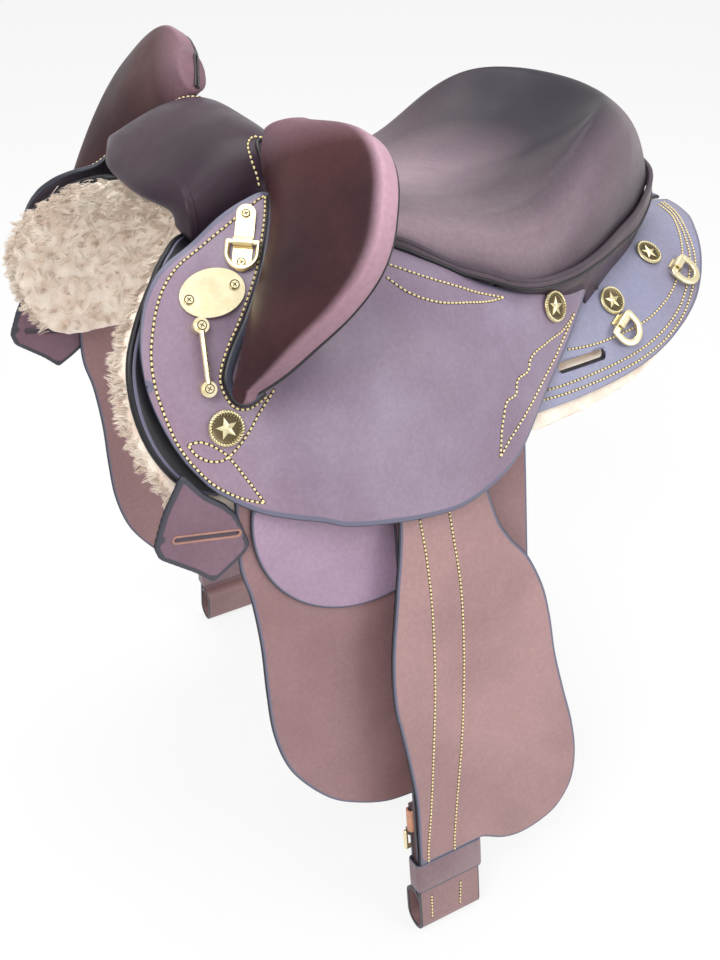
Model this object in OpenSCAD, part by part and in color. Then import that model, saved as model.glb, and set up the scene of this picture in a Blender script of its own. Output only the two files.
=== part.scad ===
/* [Back shape] */
// Length from the origin forward to the front of the skirts
half_len = 286; // [270:1:300]
// Length from the origin back to the end of the skirts
rear_len = 390; // [375:1:400]
// Half width of the skirts, measured level
skirt_half_w = 200; // [195:1:206]
// Height of the skirts' ridge line at the front
ridge_front_z = 137; // [132:1:142]
// Height of the skirts' ridge line over the origin
ridge_mid_z = 72; // [69:1:75]
// Height of the skirts' ridge line at the back
ridge_rear_z = 20; // [16:1:24]
// Fall from the ridge to the skirts' lower edge at the front
fall_front = 203; // [198:1:208]
// Fall from the ridge to the skirts' lower edge over the origin
fall_mid = 149; // [145:1:153]
// Fall from the ridge to the skirts' lower edge at the back
fall_rear = 120; // [115:1:125]

/* [Skirts and fleece] */
// Thickness of the skirt leather
skirt_t = 5; // [4:0.5:6]
// Thickness of the fleece under the skirts
fleece_t = 18; // [14:1:22]
// How far the fleece stands out past the skirt's edge
fleece_over = 7; // [4:1:10]
// Length of the strap slot in the back of each skirt
slot_len = 58; // [46:1:64]
// Height of the strap slot
slot_h = 9; // [7:0.5:11]

/* [Tree] */
// Greatest thickness of a tree bar
bar_t = 14; // [11:1:15]
// Thickness of a tree bar at its edges
bar_edge_t = 4; // [3:0.5:5]
// Inner edge of a tree bar as a share of the skirts' half width
bar_in_share = 0.35; // [0.33:0.01:0.37]
// Outer edge of a tree bar as a share of the skirts' half width
bar_out_share = 0.7; // [0.66:0.01:0.72]
// Front end of a tree bar
bar_front_y = 188; // [180:1:194]
// Back end of a tree bar
bar_rear_y = 184; // [176:1:188]
// Height of the fork's crown
fork_top_z = 172; // [169:1:175]
// Half width of the fork over its cover
fork_half_w = 98; // [96:1:99]
// Where the fork's front lip lies
fork_front_y = 203; // [198:1:208]
// Where the fork's back edge lies
fork_rear_y = 96; // [94:1:100]
// Thickness of the wooden fork
fork_t = 14; // [10:1:16]
// Thickness of the fork's leather cover
cover_t = 3.5; // [2.5:0.5:4.5]
// Thickness of the gullet lining
lining_t = 3; // [2:0.5:4]
// Radius of a gullet screw's head
screw_r = 4.5; // [3.5:0.5:5.5]

/* [Seat] */
// Height of the lowest point of the seat
seat_low_z = 83; // [82:0.5:86]
// Height of the cantle's crest
cantle_z = 138; // [134:1:141]
// Thickness of the padded seat in the middle
seat_t = 14.6; // [12:0.2:15]
// Half width of the seat at its widest
seat_half_w = 166; // [162:1:170]
// Back of the seat's edge
seat_rear_y = 316; // [310:1:322]
// Front of the seat's edge
seat_front_y = 88; // [84:1:90]
// Radius of the piping round the seat
piping_r = 2.6; // [2:0.2:3.2]
// Thickness of the ground seat and of the cantle board
board_t = 5; // [4:0.5:5.5]

/* [Jockeys] */
// Thickness of a jockey
jockey_t = 4.5; // [3.5:0.5:5]
// Greatest height of a jockey over the skirt
jockey_rise = 50; // [49:0.5:53]

/* [Knee pads] */
// Height of a knee pad from its base to its free edge
pad_h = 145; // [135:1:152]
// Thickness of a knee pad at its gusset
pad_t = 26; // [20:1:30]
// Crown of a knee pad's faces
pad_crown = 7; // [4:1:10]
// Width of the stitched welt along a pad's base
pad_welt_w = 11; // [9:0.5:12]
// Thickness of that welt
pad_welt_t = 3; // [2:0.5:3.5]

/* [Fenders] */
// How far the stirrup bar's crown stands outside the skirts
hang_out = 2; // [0:0.5:6]
// Forward place of the stirrup bar
hang_y = 52; // [48:1:56]
// Depth of the stirrup bar's crown below the origin
hang_z = 15; // [13:1:18]
// Outward lean of the hanging fenders in degrees
hang_lean = 8.5; // [8:0.5:9.5]
// Length of a fender from the stirrup bar to its lower edge
fender_len = 531; // [500:1:545]
// Reach of a fender in front of the stirrup bar
fender_front_w = 52; // [46:1:58]
// Reach of a fender behind the stirrup bar
fender_rear_w = 160; // [145:1:170]
// Thickness of a fender
fender_t = 4.5; // [3.5:0.5:5]
// Width of the stirrup leather
strap_w = 72; // [64:1:76]
// Thickness of one ply of the stirrup leather
strap_t = 3.6; // [3:0.2:4]
// How far the stirrup leather's loop reaches below the fender
strap_below = 80; // [74:1:92]
// Radius of the loop that takes the stirrup
loop_r = 11; // [9:0.5:13]
// Radius of the stirrup bar's rod
rod_r = 4.5; // [3.5:0.5:5]
// Radius of the stirrup bar's bow
bow_r = 63; // [62:1:68]
// Height of the sliding strap keeper
keeper_h = 38; // [30:1:42]
// Thickness of the strap keeper
keeper_t = 2.6; // [2:0.2:3.2]
// Distance from the fender's end at the leather to the strap keeper
keeper_clear = 10; // [6:1:11]
// Travel of the strap keeper
keeper_run = 8; // [4:1:8]
// Height of the lace keeper
lace_h = 13; // [10:1:14]
// How far the leather's end stands above the lace keeper
lace_lap = 21; // [14:1:26]
// Distance from the lace keeper down to the buckle's fold
lace_clear = 1.6; // [1:0.2:3]
// Distance from the buckle down to the strap keeper
buckle_clear = 6.8; // [6:0.2:9]

/* [Flaps] */
// Depth of a sweat flap's lower edge below the origin
flap_bottom_z = 486; // [450:1:500]
// Forward reach of a sweat flap
flap_front_y = 227; // [215:1:235]
// Rear reach of a sweat flap
flap_rear_y = 78; // [60:1:90]
// Thickness of a sweat flap
flap_t = 4; // [3:0.5:4.5]
// Outward run of a sweat flap for each unit of fall
flap_run_share = 0.06; // [0.05:0.005:0.08]
// Radius of the half moon rigging cover
moon_r = 112; // [104:1:118]
// Thickness of the half moon rigging cover
moon_t = 3.6; // [3:0.2:4]
// Width of the latigo keeper
latigo_w = 90; // [80:1:94]
// Length of the latigo keeper's hanging part
latigo_len = 74; // [66:1:80]
// Thickness of the latigo keeper
latigo_t = 4.5; // [3.5:0.5:5]
// Length of the latigo keeper's slot
latigo_slot_len = 58; // [48:1:62]
// Height of the latigo keeper's slot
latigo_slot_h = 6; // [5:0.5:8]

/* [Hardware] */
// Radius of the front and middle conchos
concho_r = 14.5; // [12:0.5:16]
// Radius of the rear conchos
concho_small_r = 14; // [12:0.5:15]
// Height of a concho's rim
concho_h = 4; // [3:0.5:5]
// Inside width of a front dee
dee_front_w = 20; // [18:0.5:21]
// Inside width of a rear dee
dee_rear_w = 18; // [17:0.5:20]
// Radius of the front dees' wire
dee_front_wire_r = 2; // [1.6:0.1:2.3]
// Radius of the rear dees' wire
dee_rear_wire_r = 3; // [2.4:0.1:3.2]
// Thickness of the clips that hold the dees
clip_t = 1.8; // [1.4:0.1:2.2]
// Length of the oval plate
plate_len = 52; // [46:1:54]
// Width of the oval plate
plate_w = 38; // [34:1:39]
// Thickness of the oval plate
plate_t = 1.6; // [1.2:0.1:2]
// Distance between the staple's two bosses
staple_len = 46; // [42:1:48]
// Radius of a staple's boss
boss_r = 6.2; // [5.4:0.2:7]
// Height of the staple's bar over the jockey
staple_h = 11; // [10:0.5:12]
// Radius of the staple's bar
staple_bar_r = 2.4; // [2:0.1:2.6]
// Radius of the buckle's wire
buckle_wire_r = 2.4; // [2:0.1:2.8]
// Height of the buckle's frame
buckle_h = 20; // [18:0.5:21]
// Width of the buckle's tongue
tongue_w = 5; // [4:0.5:6]
// Thickness of the buckle's tongue
tongue_t = 1.2; // [1:0.1:1.4]
// Width of a front dee's clip
clip_front_w = 15; // [13:0.5:16]
// Reach of a front dee's clip to its upper screw
clip_front_up = 24; // [22:0.5:26]
// Reach of a front dee's clip to its lower screw
clip_front_low = 15.2; // [15.1:0.1:16]
// Width of a rear dee's clip
clip_rear_w = 13; // [11:0.5:14]
// Reach of a rear dee's clip beside the dee's bar
clip_rear_up = 6.5; // [6:0.5:8]
// Height of the oval plate over the hollow in the jockey
plate_lift = 2.9; // [2.8:0.1:3.4]
// Radius of the oval plate's screw heads
plate_screw_r = 3.4; // [2.8:0.2:4]

/* [Fits] */
// Clearance between leaves that lie on each other
gap = 0.5; // [0.4:0.05:0.6]
// Thickness of the leather folded round the buckle
fold_t = 2; // [1.6:0.1:2.2]
// Radius of the stirrup bar's feet
foot_r = 9; // [7:0.5:10]
// How far the cantle's back panel lies inside the seat's edge
back_inset = 14; // [12:0.5:16]

/* [Hidden] */
$fn = 48;
// Overrun of every cut
over = 4;
// Step for finding a surface's slope
probe = 1;
// How sharply the back rounds off towards the sides
back_power_share = 3;
// Outline of the skirts: level place as a share of the half width, then the front edge as a
// share of the half length and the back edge as a share of the rear length
skirt_shares = [[0.03, 0.98, 1], [0.11, 0.9, 0.996], [0.19, 0.72, 0.985], [0.27, -0.1, 0.972],
  [0.31, -0.5, 0.962], [0.4, -0.7, 0.935], [0.5, -0.79, 0.905],
  [0.6, -0.86, 0.87], [0.7, -0.935, 0.825], [0.78, -0.985, 0.775], [0.85, -1, 0.705],
  [0.91, -0.985, 0.615], [0.955, -0.945, 0.495], [0.985, -0.89, 0.34], [1, -0.83, 0.19]];
// Jockey: place along as a share of the half length, then its upper edge and its lower edge, each
// as a place across (share of the half width) and a height (share of the jockey's rise), then its swell
jockey_shares = [[-0.965, 0.805, 0.2, 0.83, 0.2, 0], [-0.935, 0.7, 0.24, 0.91, 0.22, 0.02],
  [-0.875, 0.61, 0.26, 0.97, 0.25, 0.06], [-0.82, 0.56, 0.28, 1, 0.32, 0.08],
  [-0.735, 0.505, 0.34, 1.03, 0.35, 0.1], [-0.645, 0.46, 0.7, 1.05, 0.39, -0.02],
  [-0.56, 0.43, 0.92, 1.065, 0.45, 0.1], [-0.49, 0.42, 1.04, 1.08, 0.49, 0.12],
  [-0.35, 0.44, 0.7, 1.095, 0.53, 0.28], [-0.21, 0.48, 0.44, 1.105, 0.53, 0.4],
  [-0.1, 0.53, 0.42, 1.105, 0.53, 0.42], [0.035, 0.6, 0.42, 1.085, 0.49, 0.36],
  [0.155, 0.67, 0.42, 1.05, 0.36, 0.26], [0.3, 0.71, 0.56, 0.96, 0.2, 0.1],
  [0.44, 0.68, 0.56, 0.85, 0.18, 0], [0.525, 0.65, 0.52, 0.765, 0.18, 0],
  [0.58, 0.63, 0.5, 0.7, 0.22, 0]];
// Fork: place along as a share from its front lip to its back edge, then its half width and its height
fork_shares = [[0, 1, 0.847], [0.14, 1, 0.9], [0.32, 1, 0.955], [0.5, 1, 0.99], [0.68, 0.99, 1],
  [0.85, 0.96, 0.965], [1, 0.92, 0.875]];
// Roundness of the fork's arch
arch_power_share = 4;
// Seat edge from the front round to the back: place across as a share of the half width, place
// along from its middle as a share of the front and rear lengths, and its height as a share of the
// cantle's height, then the same three of the crest
seat_mid_share = 0.2;
seat_shares = [[0, -1, 0.84, 0, -0.87, 1.04], [0.3, -0.98, 0.81, 0.2, -0.85, 1.02],
  [0.54, -0.88, 0.69, 0.38, -0.74, 0.83], [0.66, -0.74, 0.62, 0.47, -0.63, 0.74],
  [0.735, -0.55, 0.55, 0.53, -0.48, 0.68], [0.82, -0.3, 0.39, 0.6, -0.28, 0.625],
  [0.91, -0.08, 0.3, 0.68, -0.07, 0.6], [1, 0.08, 0.24, 0.75, 0.07, 0.595],
  [0.985, 0.24, 0.235, 0.79, 0.2, 0.67],
  [0.9, 0.4, 0.25, 0.72, 0.35, 0.92], [0.77, 0.57, 0.29, 0.61, 0.49, 1.08],
  [0.6, 0.77, 0.35, 0.46, 0.63, 1.1], [0.36, 0.945, 0.46, 0.27, 0.7, 1.1],
  [0, 1, 0.52, 0, 0.73, 1.1]];
// Knee pad outline: place along its base as a share of its length, then its base and its free edge
// as shares of its height
pad_shares = [[-0.02, -0.017, 0.36], [0.04, -0.027, 0.64], [0.1, -0.007, 0.8], [0.18, 0.053, 0.91],
  [0.28, 0.128, 0.975], [0.4, 0.158, 1], [0.52, 0.148, 0.995], [0.63, 0.118, 0.93],
  [0.74, 0.098, 0.78],
  [0.85, 0.098, 0.55], [0.94, 0.088, 0.36], [1, 0.068, 0.2]];
// Corner of a knee pad's base, as shares of the skirts' half width, the half length and the fork's height
pad_corner_shares = [0.42, -0.4755, 1.012];
// Lower end of its base, in the same shares
pad_end_shares = [0.964, -0.804, 0.1377];
// Direction of a knee pad's height, with a length of about one
pad_rise_dir_shares = [0.848, 0.362, 0.387];
// Stitched welt of a knee pad: place along as a share of the half length, place down the jockey
pad_welt_shares = [[-0.77, 0.675], [-0.755, 0.62], [-0.722, 0.55], [-0.678, 0.475], [-0.632, 0.39],
  [-0.592, 0.31],
  [-0.556, 0.23], [-0.527, 0.15], [-0.5, 0.07]];
// Fender outline down its front edge and up its back edge: depth as a share of its length, then
// place as a share of its front or rear reach
fender_front_shares = [[0.065, -0.67], [0.23, -0.67], [0.36, -0.83], [0.475, -0.98], [0.57, -1],
  [0.64, -0.9], [0.73, -0.77], [0.81, -0.69], [0.9, -0.69]];
fender_rear_shares = [[0.945, 0.17], [0.972, 0.3], [0.992, 0.42], [1, 0.56], [0.993, 0.72],
  [0.972, 0.86], [0.923, 0.97],
  [0.853, 1], [0.776, 0.97], [0.695, 0.905], [0.6, 0.835], [0.514, 0.795], [0.44, 0.74], [0.365, 0.63],
  [0.313, 0.5], [0.25, 0.4], [0.065, 0.24]];
// Sweat flap outline: depth as a share of its depth below the skirt, then its front and rear edges
flap_shares = [[0, -0.99, 0.76], [0.16, -1, 0.83], [0.26, -0.965, 0.87], [0.385, -0.943, 0.92],
  [0.51, -0.938, 0.97],
  [0.63, -0.925, 1], [0.74, -0.877, 0.98], [0.825, -0.793, 0.9], [0.905, -0.674, 0.76],
  [0.957, -0.537, 0.58], [0.99, -0.4, 0.34], [1, -0.27, 0.05]];
// Latigo keeper outline: place across and depth as shares of its width and length
latigo_shares = [[-0.155, 0.46], [-0.37, 0.04], [-0.49, -0.32], [-0.455, -0.49], [-0.145, -0.8], [0.01, -1],
  [0.18, -0.88], [0.35, -0.74], [0.4, -0.65], [0.3, -0.22], [0.2, -0.05], [0.03, 0.13]];
// Places on the jockeys, along as a share of the half length, then down the jockey
front_concho_shares = [-0.787, 0.762];
staple_shares = [-0.8025, 0.505];
plate_shares = [-0.73, 0.287];
front_dee_shares = [-0.608, 0.174];
middle_concho_shares = [0.378, 0.322];
// Places on the skirts: conchos along as a share of the seat's rear end, dees and slot as a share of
// the rear length, all across as a share of the half width
rear_concho_upper_shares = [0.8575, 0.555];
rear_concho_lower_shares = [0.62, 0.745];
rear_dee_upper_shares = [0.756, 0.635];
rear_dee_lower_shares = [0.5, 0.82];
slot_shares = [0.3615, 0.905];
// Turn of the front dee's clip, of the rear dees and of the staple on their faces
front_dee_turn = 56;
rear_dee_turn = 126;
staple_turn = -8;
latigo_place_share = -0.885;

// Value of a smooth curve through the points of a table, by its first column
function seg(t, k, i = 0) = i >= len(t) - 2 || k <= t[i + 1][0] ? i : seg(t, k, i + 1);
function rate(t, i, c) = let (a = max(0, i - 1), b = min(len(t) - 1, i + 1))
  (t[b][c] - t[a][c]) / (t[b][0] - t[a][0]);
function smooth(t, k, c = 1) = let (i = seg(t, k), h = t[i + 1][0] - t[i][0], q = (k - t[i][0]) / h)
  t[i][c] * (1 + 2 * q) * (1 - q) ^ 2 + rate(t, i, c) * h * q * (1 - q) ^ 2
  + t[i + 1][c] * q * q * (3 - 2 * q) + rate(t, i + 1, c) * h * q * q * (q - 1);
// Points of a smooth line through a list of points
function blend(p, i, q) = let (a = p[max(0, i - 1)], b = p[i], c = p[i + 1], d = p[min(len(p) - 1, i + 2)])
  b + q * (c - a) / 2 + q * q * (a - 2.5 * b + 2 * c - d / 2) + q ^ 3 * (3 * b - a - 3 * c + d) / 2;
function curve(p, n) = [for (i = [0:len(p) - 2], k = [0:n - 1]) blend(p, i, k / n), p[len(p) - 1]];
function bow(a, m, b, u) = m + (b - a) / 2 * u + ((a + b) / 2 - m) * u * u;
function unit(v) = v / norm(v);
function mix(a, b, t) = a + (b - a) * t;

// Outer face of the skirts and points above it
function ridge(y) = bow(ridge_front_z, ridge_mid_z, ridge_rear_z, y / half_len);
function fall(y) = bow(fall_front, fall_mid, fall_rear, y / half_len);
function skin_z(x, y) = ridge(y) - fall(y) * pow(x / skirt_half_w, back_power_share);
function skin_slope(x, y) = back_power_share * fall(y) / skirt_half_w
  * pow(x / skirt_half_w, back_power_share - 1);
function skin(x, y, d) = let (s = skin_slope(x, y), l = sqrt(1 + s * s))
  [x + d * s / l, y, skin_z(x, y) + d / l];
function skin_up(x, y, d) = unit(cross(skin(x + probe, y, d) - skin(x - probe, y, d),
  skin(x, y + probe, d) - skin(x, y - probe, d)));

// Outer face of a jockey at a place down it and along it
function jockey(s, y, d) = let (k = y / half_len)
  skin(mix(smooth(jockey_shares, k, 1), smooth(jockey_shares, k, 3), s) * skirt_half_w, y,
    (mix(smooth(jockey_shares, k, 2), smooth(jockey_shares, k, 4), s)
      + smooth(jockey_shares, k, 5) * 4 * s * (1 - s)) * jockey_rise + d);
function jockey_up(s, y) = let (e = probe / skirt_half_w)
  unit(cross(jockey(s + e, y, 0) - jockey(s - e, y, 0),
    jockey(s, y + probe, 0) - jockey(s, y - probe, 0)));

// Top of a tree bar over the skirt
bar_in_x = bar_in_share * skirt_half_w;
bar_out_x = bar_out_share * skirt_half_w;
function bar_d(x, y) = let (u = (x - bar_in_x) / (bar_out_x - bar_in_x),
    v = max(0, min(1, (y + bar_front_y) / (bar_front_y + bar_rear_y))))
  gap + bar_edge_t + (bar_t - bar_edge_t) * (1 - pow(abs(2 * u - 1), 4)) * (1 - pow(abs(2 * v - 1), 4));
function bar_top(x, y) = skin(x, y, bar_d(x, y));
function bar_up(x, y) = unit(cross(bar_top(x + probe, y) - bar_top(x - probe, y),
  bar_top(x, y + probe) - bar_top(x, y - probe)));
function rest_z(x, y) = skin_z(x, y) + (bar_d(x, y) + gap) * sqrt(1 + pow(skin_slope(x, y), 2));

// Fork's arch, d under its outer face, from one foot to the other
function arch(t, v, d) = let (y = mix(-fork_front_y, -fork_rear_y, v),
    a = fork_half_w * smooth(fork_shares, v, 1) - d, h = fork_top_z * smooth(fork_shares, v, 2) - d,
    f = rest_z(a, y), p = 2 / arch_power_share)
  [a * sign(cos(t)) * pow(abs(cos(t)), p), y, f + (h - f) * pow(abs(sin(t)), p)];

function arch_up(t, v, d) = let (e = probe / fork_half_w)
  unit(cross(arch(t - probe, v, d) - arch(t + probe, v, d), arch(t, v + e, d) - arch(t, v - e, d)));

// Seat: a ring of places from its middle out to its crest and down to its edge
seat_mid_y = seat_mid_share * seat_rear_y;
seat_reach = [seat_front_y + seat_mid_y, seat_rear_y - seat_mid_y];
function seat_at(n, c) = let (k = n > 1 ? n - 2 : n, t = abs(k),
    y = smooth(seat_keys, t, c + 1), x = smooth(seat_keys, t, c))
  [sign(k) * x * seat_half_w, seat_mid_y + y * (y < 0 ? seat_reach[0] : seat_reach[1]),
    smooth(seat_keys, t, c + 2) * cantle_z];
seat_keys = [for (i = [0:len(seat_shares) - 1]) concat([i / (len(seat_shares) - 1)], seat_shares[i])];
seat_low = [0, seat_mid_y, seat_low_z];
// The swell of the seat's side past a straight line from crest to edge
seat_swell_share = 0.1;
function seat_face(r, k) = let (e = seat_at(k, 1), c = seat_at(k, 4))
  r <= 1 ? [mix(seat_low.x, c.x, r), mix(seat_low.y, c.y, r), mix(seat_low.z, c.z, r * r)]
  : let (q = r - 1, w = (c.z - e.z) * seat_swell_share * sin(180 * q),
      o = unit([e.x, e.y - seat_mid_y, probe]))
    mix(c, e, q) + [o.x * w, o.y * w, w];
// How thick the seat is: full in the middle, thinner over the bars and at its edge
seat_edge_share = 0.6;
function seat_thick(r, k) = seat_t * mix(1, seat_edge_share, min(1, r));
function seat_under(r, k, d) = let (p = seat_face(r, k), q = max(0, r - 1), t = seat_thick(r, k) + d,
    o = unit([p.x, p.y - seat_mid_y, 0]))
  [p.x - o.x * t * q, p.y - o.y * t * q, p.z - t * (1 - q * (1 - seat_edge_share))];

// Knee pad's frame
function pad_place(p) = [p.x * skirt_half_w, p.y * half_len, p.z * fork_top_z];
pad_corner = pad_place(pad_corner_shares);
pad_base = pad_place(pad_end_shares) - pad_corner;
pad_face = unit(cross(pad_rise_dir_shares, pad_base));
// Number of points round a knee pad's section
pad_sides = 20;
function pad_ring(k) = let (b = smooth(pad_shares, k, 1), e = smooth(pad_shares, k, 2))
  [for (i = [0:pad_sides - 1]) let (a = 360 * i / pad_sides, u = 0.5 + pad_round(cos(a)) / 2,
      s = pad_round(sin(a)), n = s * (pad_t / 2 + pad_crown * sin(180 * u)) * pad_waist(k) - pad_t / 2)
    pad_corner + pad_base * k + pad_rise_dir_shares * mix(b, e, u) * pad_h
      - pad_face * n];
function pad_round(v) = sign(v) * pow(abs(v), 0.45);
function pad_waist(k) = 1 - pow(abs(2 * max(0, min(1, k)) - 1), 6) * 0.55;

// Hanging plane of the fenders: origin at the crown of the stirrup bar
hang_x = skirt_half_w + hang_out;
strap_len = fender_len + strap_below;
// Depth of the fender's end at the leather as a share of its length
fender_end_share = 0.945;
keeper_drop = fender_end_share * fender_len + keeper_clear;
strap_face = rod_r + gap + strap_t;
fender_in = strap_face + gap / 2;
fender_out = fender_in + fender_t;
// Turn of the stirrup bar's bow to each of its legs
bow_turn = 76;
// Depth of the opening that the stirrup bar takes in the leather
bar_loop_len = bow_r - sqrt(bow_r * bow_r - strap_w * strap_w / 4) + 1.4 * rod_r + 2 * gap;
// Clear space between the two plies of the leather
ply_gap = 2 * keeper_t + gap;
// Top of the opening for the stirrup and middle of its lower turn
loop_top = keeper_drop + keeper_h + keeper_run + loop_r + strap_t + gap;
loop_low = strap_len - loop_r - strap_t;
strap_in = rod_r + gap;
loop_mid = strap_in - loop_r;
back_in = strap_in - ply_gap - strap_t;
// Lower end of the back ply, in the wall of the loop
back_end = loop_top - loop_r - strap_t / 2;
fold_r = buckle_wire_r + gap / 2 + fold_t;
// Middle of the buckle, top of the lace keeper and upper end of the back ply below the bar
buckle_drop = keeper_drop - buckle_clear - buckle_h / 2 - fold_r;
lace_drop = buckle_drop - buckle_h / 2 - fold_r - lace_clear - lace_h;
back_drop = lace_drop - lace_lap;
buckle_face = back_in - gap - buckle_wire_r - gap / 2 - tongue_t;
function hang_pt(x, y, z) = [hang_x + x * cos(hang_lean) - z * sin(hang_lean), y - hang_y,
  x * sin(hang_lean) + z * cos(hang_lean) - hang_z];

// Flaps hang from the skirt's lower edge at the front
flap_lean = atan(flap_run_share);
flap_top = [skirt_half_w + 2.4 * gap, 0, ridge_front_z - fall_front];
flap_depth = flap_bottom_z + flap_top.z;
// Latigo keeper's place along, and the half moon behind its back corner
latigo_y = latigo_place_share * half_len;
moon_y = latigo_y + max([for (p = latigo_shares) p[0]]) * latigo_w + moon_r + 4 * gap;
// Upper edge and middle of the half moon below the flap's upper edge, as shares of its radius
moon_top_share = 0.14;
moon_mid_share = 0.35;
// Middle of the latigo slot below the skirt's edge as a share of the latigo keeper's length, and its turn
latigo_slot_share = 0.38;
latigo_slot_turn = -12;

module near_off(side) mirror([side == "off" ? 1 : 0, 0, 0]) children();

// Closed solid between two sheets of points that have the same rows and columns
module slab(inner, outer) {
  rows = len(inner);
  cols = len(inner[0]);
  n = rows * cols;
  m = rows - 1;
  l = cols - 1;
  polyhedron(points = [for (g = [inner, outer], r = g) each r], convexity = 8, faces = concat(
    [for (r = [0:m - 1], c = [0:l - 1]) let (a = r * cols + c, b = a + cols) each
      [[a, b, a + 1], [a + 1, b, b + 1], [n + a, n + a + 1, n + b], [n + a + 1, n + b + 1, n + b]]],
    [for (c = [0:l - 1]) let (a = c, b = m * cols + c) each
      [[a, a + 1, n + a], [a + 1, n + a + 1, n + a], [b, n + b, b + 1], [b + 1, n + b, n + b + 1]]],
    [for (r = [0:m - 1]) let (a = r * cols, b = a + cols, c = a + l, d = b + l) each
      [[a, n + a, b], [n + a, n + b, b], [c, d, n + c], [n + c, d, n + d]]]));
}

// Closed solid between an upper and an under dish of rings, each closed at its middle
module dish(under, upper, low, high) {
  k = len(upper[0]);
  m = len(upper);
  n = k * m;
  mid = 2 * n;
  polyhedron(convexity = 8,
    points = concat([for (g = [under, upper], r = g) each r], [low, high]),
    faces = concat(
      [for (r = [0:m - 2], c = [0:k - 1]) let (a = r * k + c, b = r * k + (c + 1) % k) each
        [[a, b, a + k], [b, b + k, a + k], [n + a, n + a + k, n + b], [n + b, n + a + k, n + b + k]]],
      [for (c = [0:k - 1]) let (d = (c + 1) % k, a = (m - 1) * k + c, b = (m - 1) * k + d) each
        [[mid, d, c], [mid + 1, n + c, n + d], [a, b, n + a], [b, n + b, n + a]]]));
}

// Closed solid through a row of rings
module loft(rings) {
  k = len(rings[0]);
  m = len(rings);
  function middle(r) = [for (i = [0:2]) [for (p = r) p[i]] * [for (p = r) 1] / k];
  polyhedron(convexity = 8,
    points = concat([for (r = rings) each r], [middle(rings[0]), middle(rings[m - 1])]),
    faces = concat(
      [for (r = [0:m - 2], c = [0:k - 1]) let (a = r * k + c, b = r * k + (c + 1) % k) each
        [[a, a + k, b], [b, a + k, b + k]]],
      [for (c = [0:k - 1]) let (d = (c + 1) % k, e = (m - 1) * k) each
        [[m * k, c, d], [m * k + 1, e + d, e + c]]]));
}

// Round bar along a closed row of points
module ring_bar(pts, r, sides) {
  n = len(pts);
  rings = [for (i = [0:n - 1]) let (t = unit(pts[(i + 1) % n] - pts[(i + n - 1) % n]),
      x = unit(cross(t, [0, 0, 1])), y = cross(x, t))
    [for (j = [0:sides - 1]) pts[i] + r * (x * cos(360 * j / sides) + y * sin(360 * j / sides))]];
  polyhedron(points = [for (q = rings) each q], convexity = 8,
    faces = [for (i = [0:n - 1], j = [0:sides - 1])
      let (a = i * sides + j, b = i * sides + (j + 1) % sides, c = ((i + 1) % n) * sides + j,
        d = ((i + 1) % n) * sides + (j + 1) % sides) each [[a, b, c], [b, d, c]]]);
}

// Places children on a face with its outward direction as their height
module stand(p, up, turn = 0) {
  a = atan2(up.y, up.x);
  translate(p) rotate([0, acos(up.z), a]) rotate(turn - a) children();
}
module on_skin(place, len, d, turn = 0) {
  y = place[0] * len;
  x = place[1] * skirt_half_w;
  stand(skin(x, y, d), skin_up(x, y, d), turn) children();
}
module on_jockey(place, d, turn = 0) {
  y = place[0] * half_len;
  stand(jockey(place[1], y, d), jockey_up(place[1], y), turn) children();
}
// Hanging plane: children lie in it with the plane's outward direction along X
module hang() translate([hang_x, -hang_y, -hang_z]) rotate([0, -hang_lean, 0]) children();
// Plate drawn as place along and height, with a thickness outward from a face
module leaf(face, t) translate([face, 0, 0]) rotate([90, 0, 90]) linear_extrude(t) children();
// Cross-section drawn as outward and height, run along a width
module run(w) rotate([90, 0, 0]) linear_extrude(w, center = true) children();

// Skirts, fleece and tree bars
// Number of columns in a sheet
sheet_cols = 14;
function skirt_sheet(d, grow) = [for (r = skirt_shares)
  let (x = r[0] * skirt_half_w + (r[0] == 1 ? grow : 0)) [for (c = [0:sheet_cols])
    skin(x, mix(r[1] * half_len - grow, r[2] * rear_len + grow, c / sheet_cols), d)]];
module slot_cut() {
  p = skin(slot_shares[1] * skirt_half_w, slot_shares[0] * rear_len, 0);
  translate([p.x, p.y, p.z]) cube([2 * (skirt_t + fleece_t + 3 * over), slot_len, slot_h], center = true);
}
module skirt(side) near_off(side) difference() {
  slab(skirt_sheet(-skirt_t, 0), skirt_sheet(0, 0));
  slot_cut();
}
module fleece(side) near_off(side) difference() {
  slab(skirt_sheet(-skirt_t - gap - fleece_t, fleece_over), skirt_sheet(-skirt_t - gap, fleece_over));
  slot_cut();
}
// Rows across and columns along a tree bar
bar_rows = 7;
bar_cols = 14;
function bar_sheet(top) = [for (r = [0:bar_rows]) let (x = mix(bar_in_x, bar_out_x, r / bar_rows))
  [for (c = [0:bar_cols]) let (y = mix(-bar_front_y, bar_rear_y, c / bar_cols))
    skin(x, y, top ? bar_d(x, y) : gap)]];
module tree_bar(side) near_off(side) slab(bar_sheet(false), bar_sheet(true));

// Fork, its cover and its lining
arch_rows = 18;
function arch_sheet(d) = [for (r = [0:arch_rows]) [for (c = [0:len(fork_shares) - 1])
  arch(180 * (1 - r / arch_rows), fork_shares[c][0], d)]];
module arch_shell(d, t) slab(arch_sheet(d + t), arch_sheet(d));
fork_d = cover_t + gap;
lining_d = fork_d + fork_t + gap;

// Seat
seat_steps = 44;
function seat_ring(f) = [for (i = [0:seat_steps - 1]) let (k = 1 - 2 * i / seat_steps) f(k)];
seat_radii_shares = [0.2, 0.4, 0.6, 0.8, 0.92, 1, 1.12, 1.26, 1.42, 1.6, 1.8, 2];

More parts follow.
